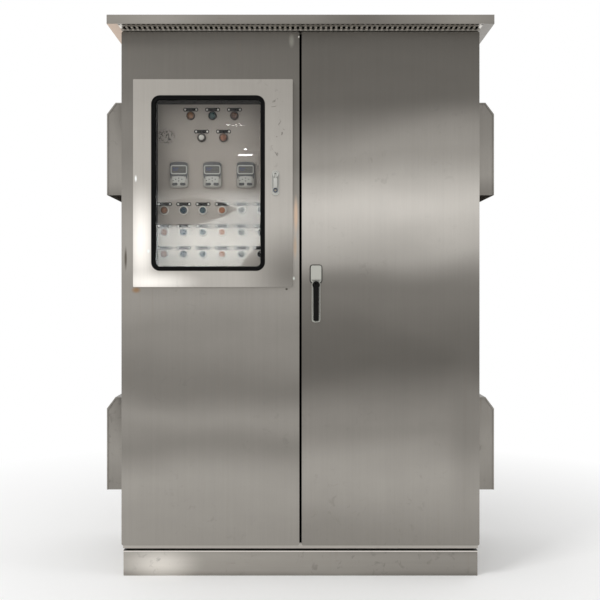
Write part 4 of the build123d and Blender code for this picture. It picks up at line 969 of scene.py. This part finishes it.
# Folded sheet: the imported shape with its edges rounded, for the light that folds catch
def addSheet(node, body, width, finish):
    mesh = nodes[node].data.copy()
    mesh.name = node + "_sheet"
    work = bmesh.new()
    work.from_mesh(mesh)
    bmesh.ops.remove_doubles(work, verts=work.verts, dist=1e-5)
    bmesh.ops.dissolve_limit(work, angle_limit=math.radians(0.5), verts=work.verts, edges=work.edges)
    work.to_mesh(mesh)
    work.free()
    piece = addObject(node + "_sheet", mesh)
    mesh.materials.clear()
    mesh.materials.append(materials[finish])
    mesh.shade_smooth()
    mesh.set_sharp_from_angle(angle=math.radians(30))
    rounding = piece.modifiers.new("rounding", "BEVEL")
    rounding.width = width
    rounding.segments = 2
    rounding.limit_method = "ANGLE"
    rounding.angle_limit = math.radians(35)
    rounding.harden_normals = True
    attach(piece, body)
    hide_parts(node)


for sheet in (("left_door", "left_leaf", 0.0009, "leftDoorSteel"),
              ("right_door", "right_leaf", 0.0009, "rightDoorSteel"),
              ("window_door", "window_leaf", 0.0008, "windowDoorSteel"), ("roof_cap", "cabinet", 0.0010, "roofSteel"),
              ("plinth", "cabinet", 0.0012, "plinthSteel"), ("vent_hoods", "cabinet", 0.0009, "hoodSteel")):
    addSheet(*sheet)
print("folded sheets made")

# Folded drip lip above the doors, and a black strip behind the gap between them, painted shade for the shade in the
# gap
addPiece("roof_drip_lip", [loftFront(0.0, 1.8346, narrowed(1.196, 0.0058, [
    (0, 0.0006, -0.3012), (0, 0.0006, -0.3040), (0.001, 0.0006, -0.3045)]), 2)],
    "windowDoorSteel", "cabinet")
addPiece("door_gap_shade_strip", [loftFront(0.0, 0.970, narrowed(0.030, 1.716, [
    (0, 0.002, -0.2702), (0, 0.002, -0.2722), (0.008, 0.002, -0.2735)]), 3)], "gapShadeBlack", "cabinet")

# Stage: pale floor that fades to white away from the cabinet, white room, soft lamps
stageLook = {"floorTone": 0.96, "floorHalf": 30.0, "fadeStart": 0.9, "fadeEnd": 2.4, "worldLight": 0.78,
             "eye": (-0.0017, -3.3, 0.965), "lens": 53.8, "sensor": 36.0, "shiftRows": -10, "pictureRows": 600}


def seenDirectly(tree):
    # One for rays from the eye, by gloss or through glass; the others keep the lit room
    rays = tree.nodes.new("ShaderNodeLightPath").outputs
    seen = plus(tree, rays["Is Camera Ray"], rays["Is Glossy Ray"], clamp=True)
    return plus(tree, seen, rays["Is Transmission Ray"], clamp=True)


def makeFloor():
    half, tone = stageLook["floorHalf"], stageLook["floorTone"]
    mesh = bpy.data.meshes.new("floor")
    mesh.from_pydata([(-half, -half, 0), (half, -half, 0), (half, half, 0), (-half, half, 0)], [], [(0, 1, 2, 3)])
    floor = addObject("floor", mesh)
    material, tree, shader, where = newMaterial("paleFloor")
    colour = blend(tree, noise(tree, where, 40.0, 3.0), (tone * 0.99, tone * 0.99, tone * 0.98, 1),
                          (tone, tone, tone, 1))
    tree.links.new(colour, shader.inputs["Base Color"])
    shader.inputs["Roughness"].default_value = 0.8
    shader.inputs["Specular IOR Level"].default_value = 0.1
    far = spread(tree, lengthOf(tree, where), stageLook["fadeStart"], stageLook["fadeEnd"])
    white = place(tree, "ShaderNodeEmission", {"Color": (1, 1, 1, 1), "Strength": 1.0}).outputs[0]
    mixed = place(tree, "ShaderNodeMixShader", {0: times(tree, far, seenDirectly(tree)), 1: shader.outputs[0],
                                                2: white}).outputs[0]
    tree.links.new(mixed, tree.nodes["Material Output"].inputs["Surface"])
    mesh.materials.append(material)


def makeWorld():
    world = bpy.data.worlds.new("studio")
    bpy.context.scene.world = world
    world.use_nodes = True
    tree = world.node_tree
    lit = tree.nodes["Background"]
    lit.inputs["Strength"].default_value = stageLook["worldLight"]
    lit.inputs["Color"].default_value = (1, 1, 1, 1)
    white = place(tree, "ShaderNodeBackground", {"Color": (1, 1, 1, 1), "Strength": 1.0}).outputs[0]
    mixed = place(tree, "ShaderNodeMixShader", {0: seenDirectly(tree), 1: lit.outputs[0], 2: white}).outputs[0]
    tree.links.new(mixed, tree.nodes["World Output"].inputs["Surface"])


def addLamp(name, spot, target, width, height, watts):
    data = bpy.data.lights.new(name, "AREA")
    data.shape = "RECTANGLE"
    data.size, data.size_y, data.energy = width, height, watts
    lamp = addObject(name, data)
    lamp.location = spot
    direction = np.array(target) - np.array(spot)
    yaw = math.atan2(direction[0], -direction[1])
    lift = math.atan2(direction[2], math.hypot(direction[0], direction[1]))
    lamp.rotation_euler = (math.pi / 2 + lift, 0.0, yaw + math.pi)
    lamp.visible_camera = False
    return lamp


def makeCamera():
    # Eye 3 m in front of the doors, level; the picture's middle is shifted by a few of its rows
    camera = addObject("camera", bpy.data.cameras.new("camera"))
    camera.location = stageLook["eye"]
    camera.rotation_euler = (math.pi / 2, 0, 0)
    camera.data.lens = stageLook["lens"]
    camera.data.sensor_width = stageLook["sensor"]
    camera.data.shift_y = stageLook["shiftRows"] / stageLook["pictureRows"]
    bpy.context.scene.camera = camera


# A bright card behind the eye, seen only in gloss: its outline lies on the lower pane as in the photograph.
# Places are on the pane; leaf and corner are darker shapes in the card; streaks: place, size and watts
cardLook = {"strength": 21.0, "pane": -0.32, "depth": -3.6, "low": 1.02, "top": 1.300, "full": 1.2540, "left": -0.50,
            "right": -0.11, "leafUpper": [(-0.478, 1.2429), (-0.3074, 1.2675), (-0.2093, 1.2329)],
            "leafLower": [(-0.478, 1.1844), (-0.3074, 1.1917), (-0.2093, 1.2329)], "leafShade": 0.93,
            "leafEdge": 0.006, "corner": [(-0.1393, 1.1208), (-0.2003, 1.05)],
            "streaks": {"streakLow": (-0.1811, 1.4137, 0.105, 0.012, 0.45),
                        "streakDot": (-0.1845, 1.4336, 0.022, 0.016, 0.14),
                        "streakHigh": (-0.2200, 1.5135, 0.150, 0.008, 0.10)}}
paneOnly = bpy.data.collections.new("paneOnly")
paneOnly.objects.link(nodes["window_pane"])


def mirrored(px, pz):
    # The spot on a card that the eye sees in the pane at this point: the eye mirrored in the pane, carried on
    eye, plane = stageLook["eye"], cardLook["pane"]
    behind = np.array([eye[0], 2 * plane - eye[1], eye[2]])
    step = (cardLook["depth"] - behind[1]) / (plane - behind[1])
    return behind + (np.array([px, plane, pz]) - behind) * step


def mirroredX(px):
    return mirrored(px, 0)[0]


def mirroredZ(pz):
    return mirrored(0, pz)[2]


def circleThrough(points):
    # Centre and radius of the circle through three points: the meeting of two chords' bisectors
    (ax, az), (bx, bz), (cx, cz) = points
    rows = np.array([[bx - ax, bz - az], [cx - bx, cz - bz]])
    sums = np.array([(bx * bx - ax * ax + bz * bz - az * az) / 2, (cx * cx - bx * bx + cz * cz - bz * bz) / 2])
    centre = np.linalg.solve(rows, sums)
    return centre, float(np.hypot(ax - centre[0], az - centre[1]))


def insideCircle(tree, where, curve):
    (midX, midZ), radius = circleThrough([mirrored(*point)[[0, 2]] for point in cardLook[curve]])
    offset = vectorMaths(tree, "SUBTRACT", where, (midX, 0, midZ))[0]
    away = lengthOf(tree, vectorMaths(tree, "MULTIPLY", offset, (1, 0, 1))[0])
    return spread(tree, away, radius + cardLook["leafEdge"], radius - cardLook["leafEdge"])


def makeCard():
    low, high = mirrored(cardLook["left"], cardLook["low"]), mirrored(cardLook["right"], cardLook["top"] + 0.05)
    mesh = bpy.data.meshes.new("reflector")
    mesh.from_pydata([(x, low[1], z) for x, z in ((low[0], low[2]), (high[0], low[2]), (high[0], high[2]),
                                                  (low[0], high[2]))], [], [(0, 3, 2, 1)])
    card = addObject("reflector", mesh)
    card.visible_camera = card.visible_diffuse = card.visible_shadow = card.visible_transmission = False
    card.light_linking.receiver_collection = paneOnly
    material, tree, shader, where = newMaterial("reflectorCard")
    tree.nodes.remove(shader)
    axes = axesOf(tree, where)
    soft = noise(tree, where, 2.5)
    # The card's upper edge is soft and uneven, and weaker at the upper left, above the leaf
    uneven = plus(tree, axes["Z"], times(tree, minus(tree, soft, 0.5), 0.05))
    rise = spread(tree, uneven, mirroredZ(cardLook["top"]), mirroredZ(cardLook["full"]))
    left = spread(tree, axes["X"], mirroredX(-0.40), mirroredX(-0.24))
    above = spread(tree, axes["Z"], mirroredZ(1.19), mirroredZ(1.25))
    weaker = times(tree, times(tree, minus(tree, 1.0, left), above), 0.62)
    rise = times(tree, rise, minus(tree, 1.0, weaker))
    # Leaf: inside both of two circles, its tip to the right
    leaf = times(tree, insideCircle(tree, where, "leafUpper"), insideCircle(tree, where, "leafLower"))
    # Corner: below a slanted line at the lower right
    a, b = (mirrored(*point) for point in cardLook["corner"])
    slope = (b[2] - a[2]) / (b[0] - a[0])
    line = minus(tree, axes["Z"], plus(tree, times(tree, axes["X"], slope), a[2] - slope * a[0]))
    corner = spread(tree, line, 0.0, -0.02)
    lit = times(tree, rise, minus(tree, 1.0, times(tree, leaf, cardLook["leafShade"])))
    lit = times(tree, lit, minus(tree, 1.0, corner))
    lit = times(tree, times(tree, lit, spread(tree, soft, 0.2, 0.8, 0.86, 1.08)), cardLook["strength"])
    glow = place(tree, "ShaderNodeEmission", {"Color": (0.97, 1.0, 0.98, 1), "Strength": lit}).outputs[0]
    clear = tree.nodes.new("ShaderNodeBsdfTransparent").outputs[0]
    both = place(tree, "ShaderNodeAddShader", {0: glow, 1: clear}).outputs[0]
    tree.links.new(both, tree.nodes["Material Output"].inputs["Surface"])
    mesh.materials.append(material)


makeFloor()
makeWorld()
makeCamera()
makeCard()
addLamp("softKey", (-2.6, -3.0, 4.6), (0, -0.2, 1.0), 1.6, 1.2, 90)
addLamp("softFill", (4.0, -1.8, 2.4), (0, 0, 0.9), 1.5, 1.5, 20)
for name, (px, pz, width, height, watts) in cardLook["streaks"].items():
    streak = addLamp(name, tuple(mirrored(px, pz)), (px, cardLook["pane"], pz), width, height, watts)
    streak.light_linking.receiver_collection = paneOnly
bpy.context.scene.view_settings.view_transform = "Standard"
print("stage set")
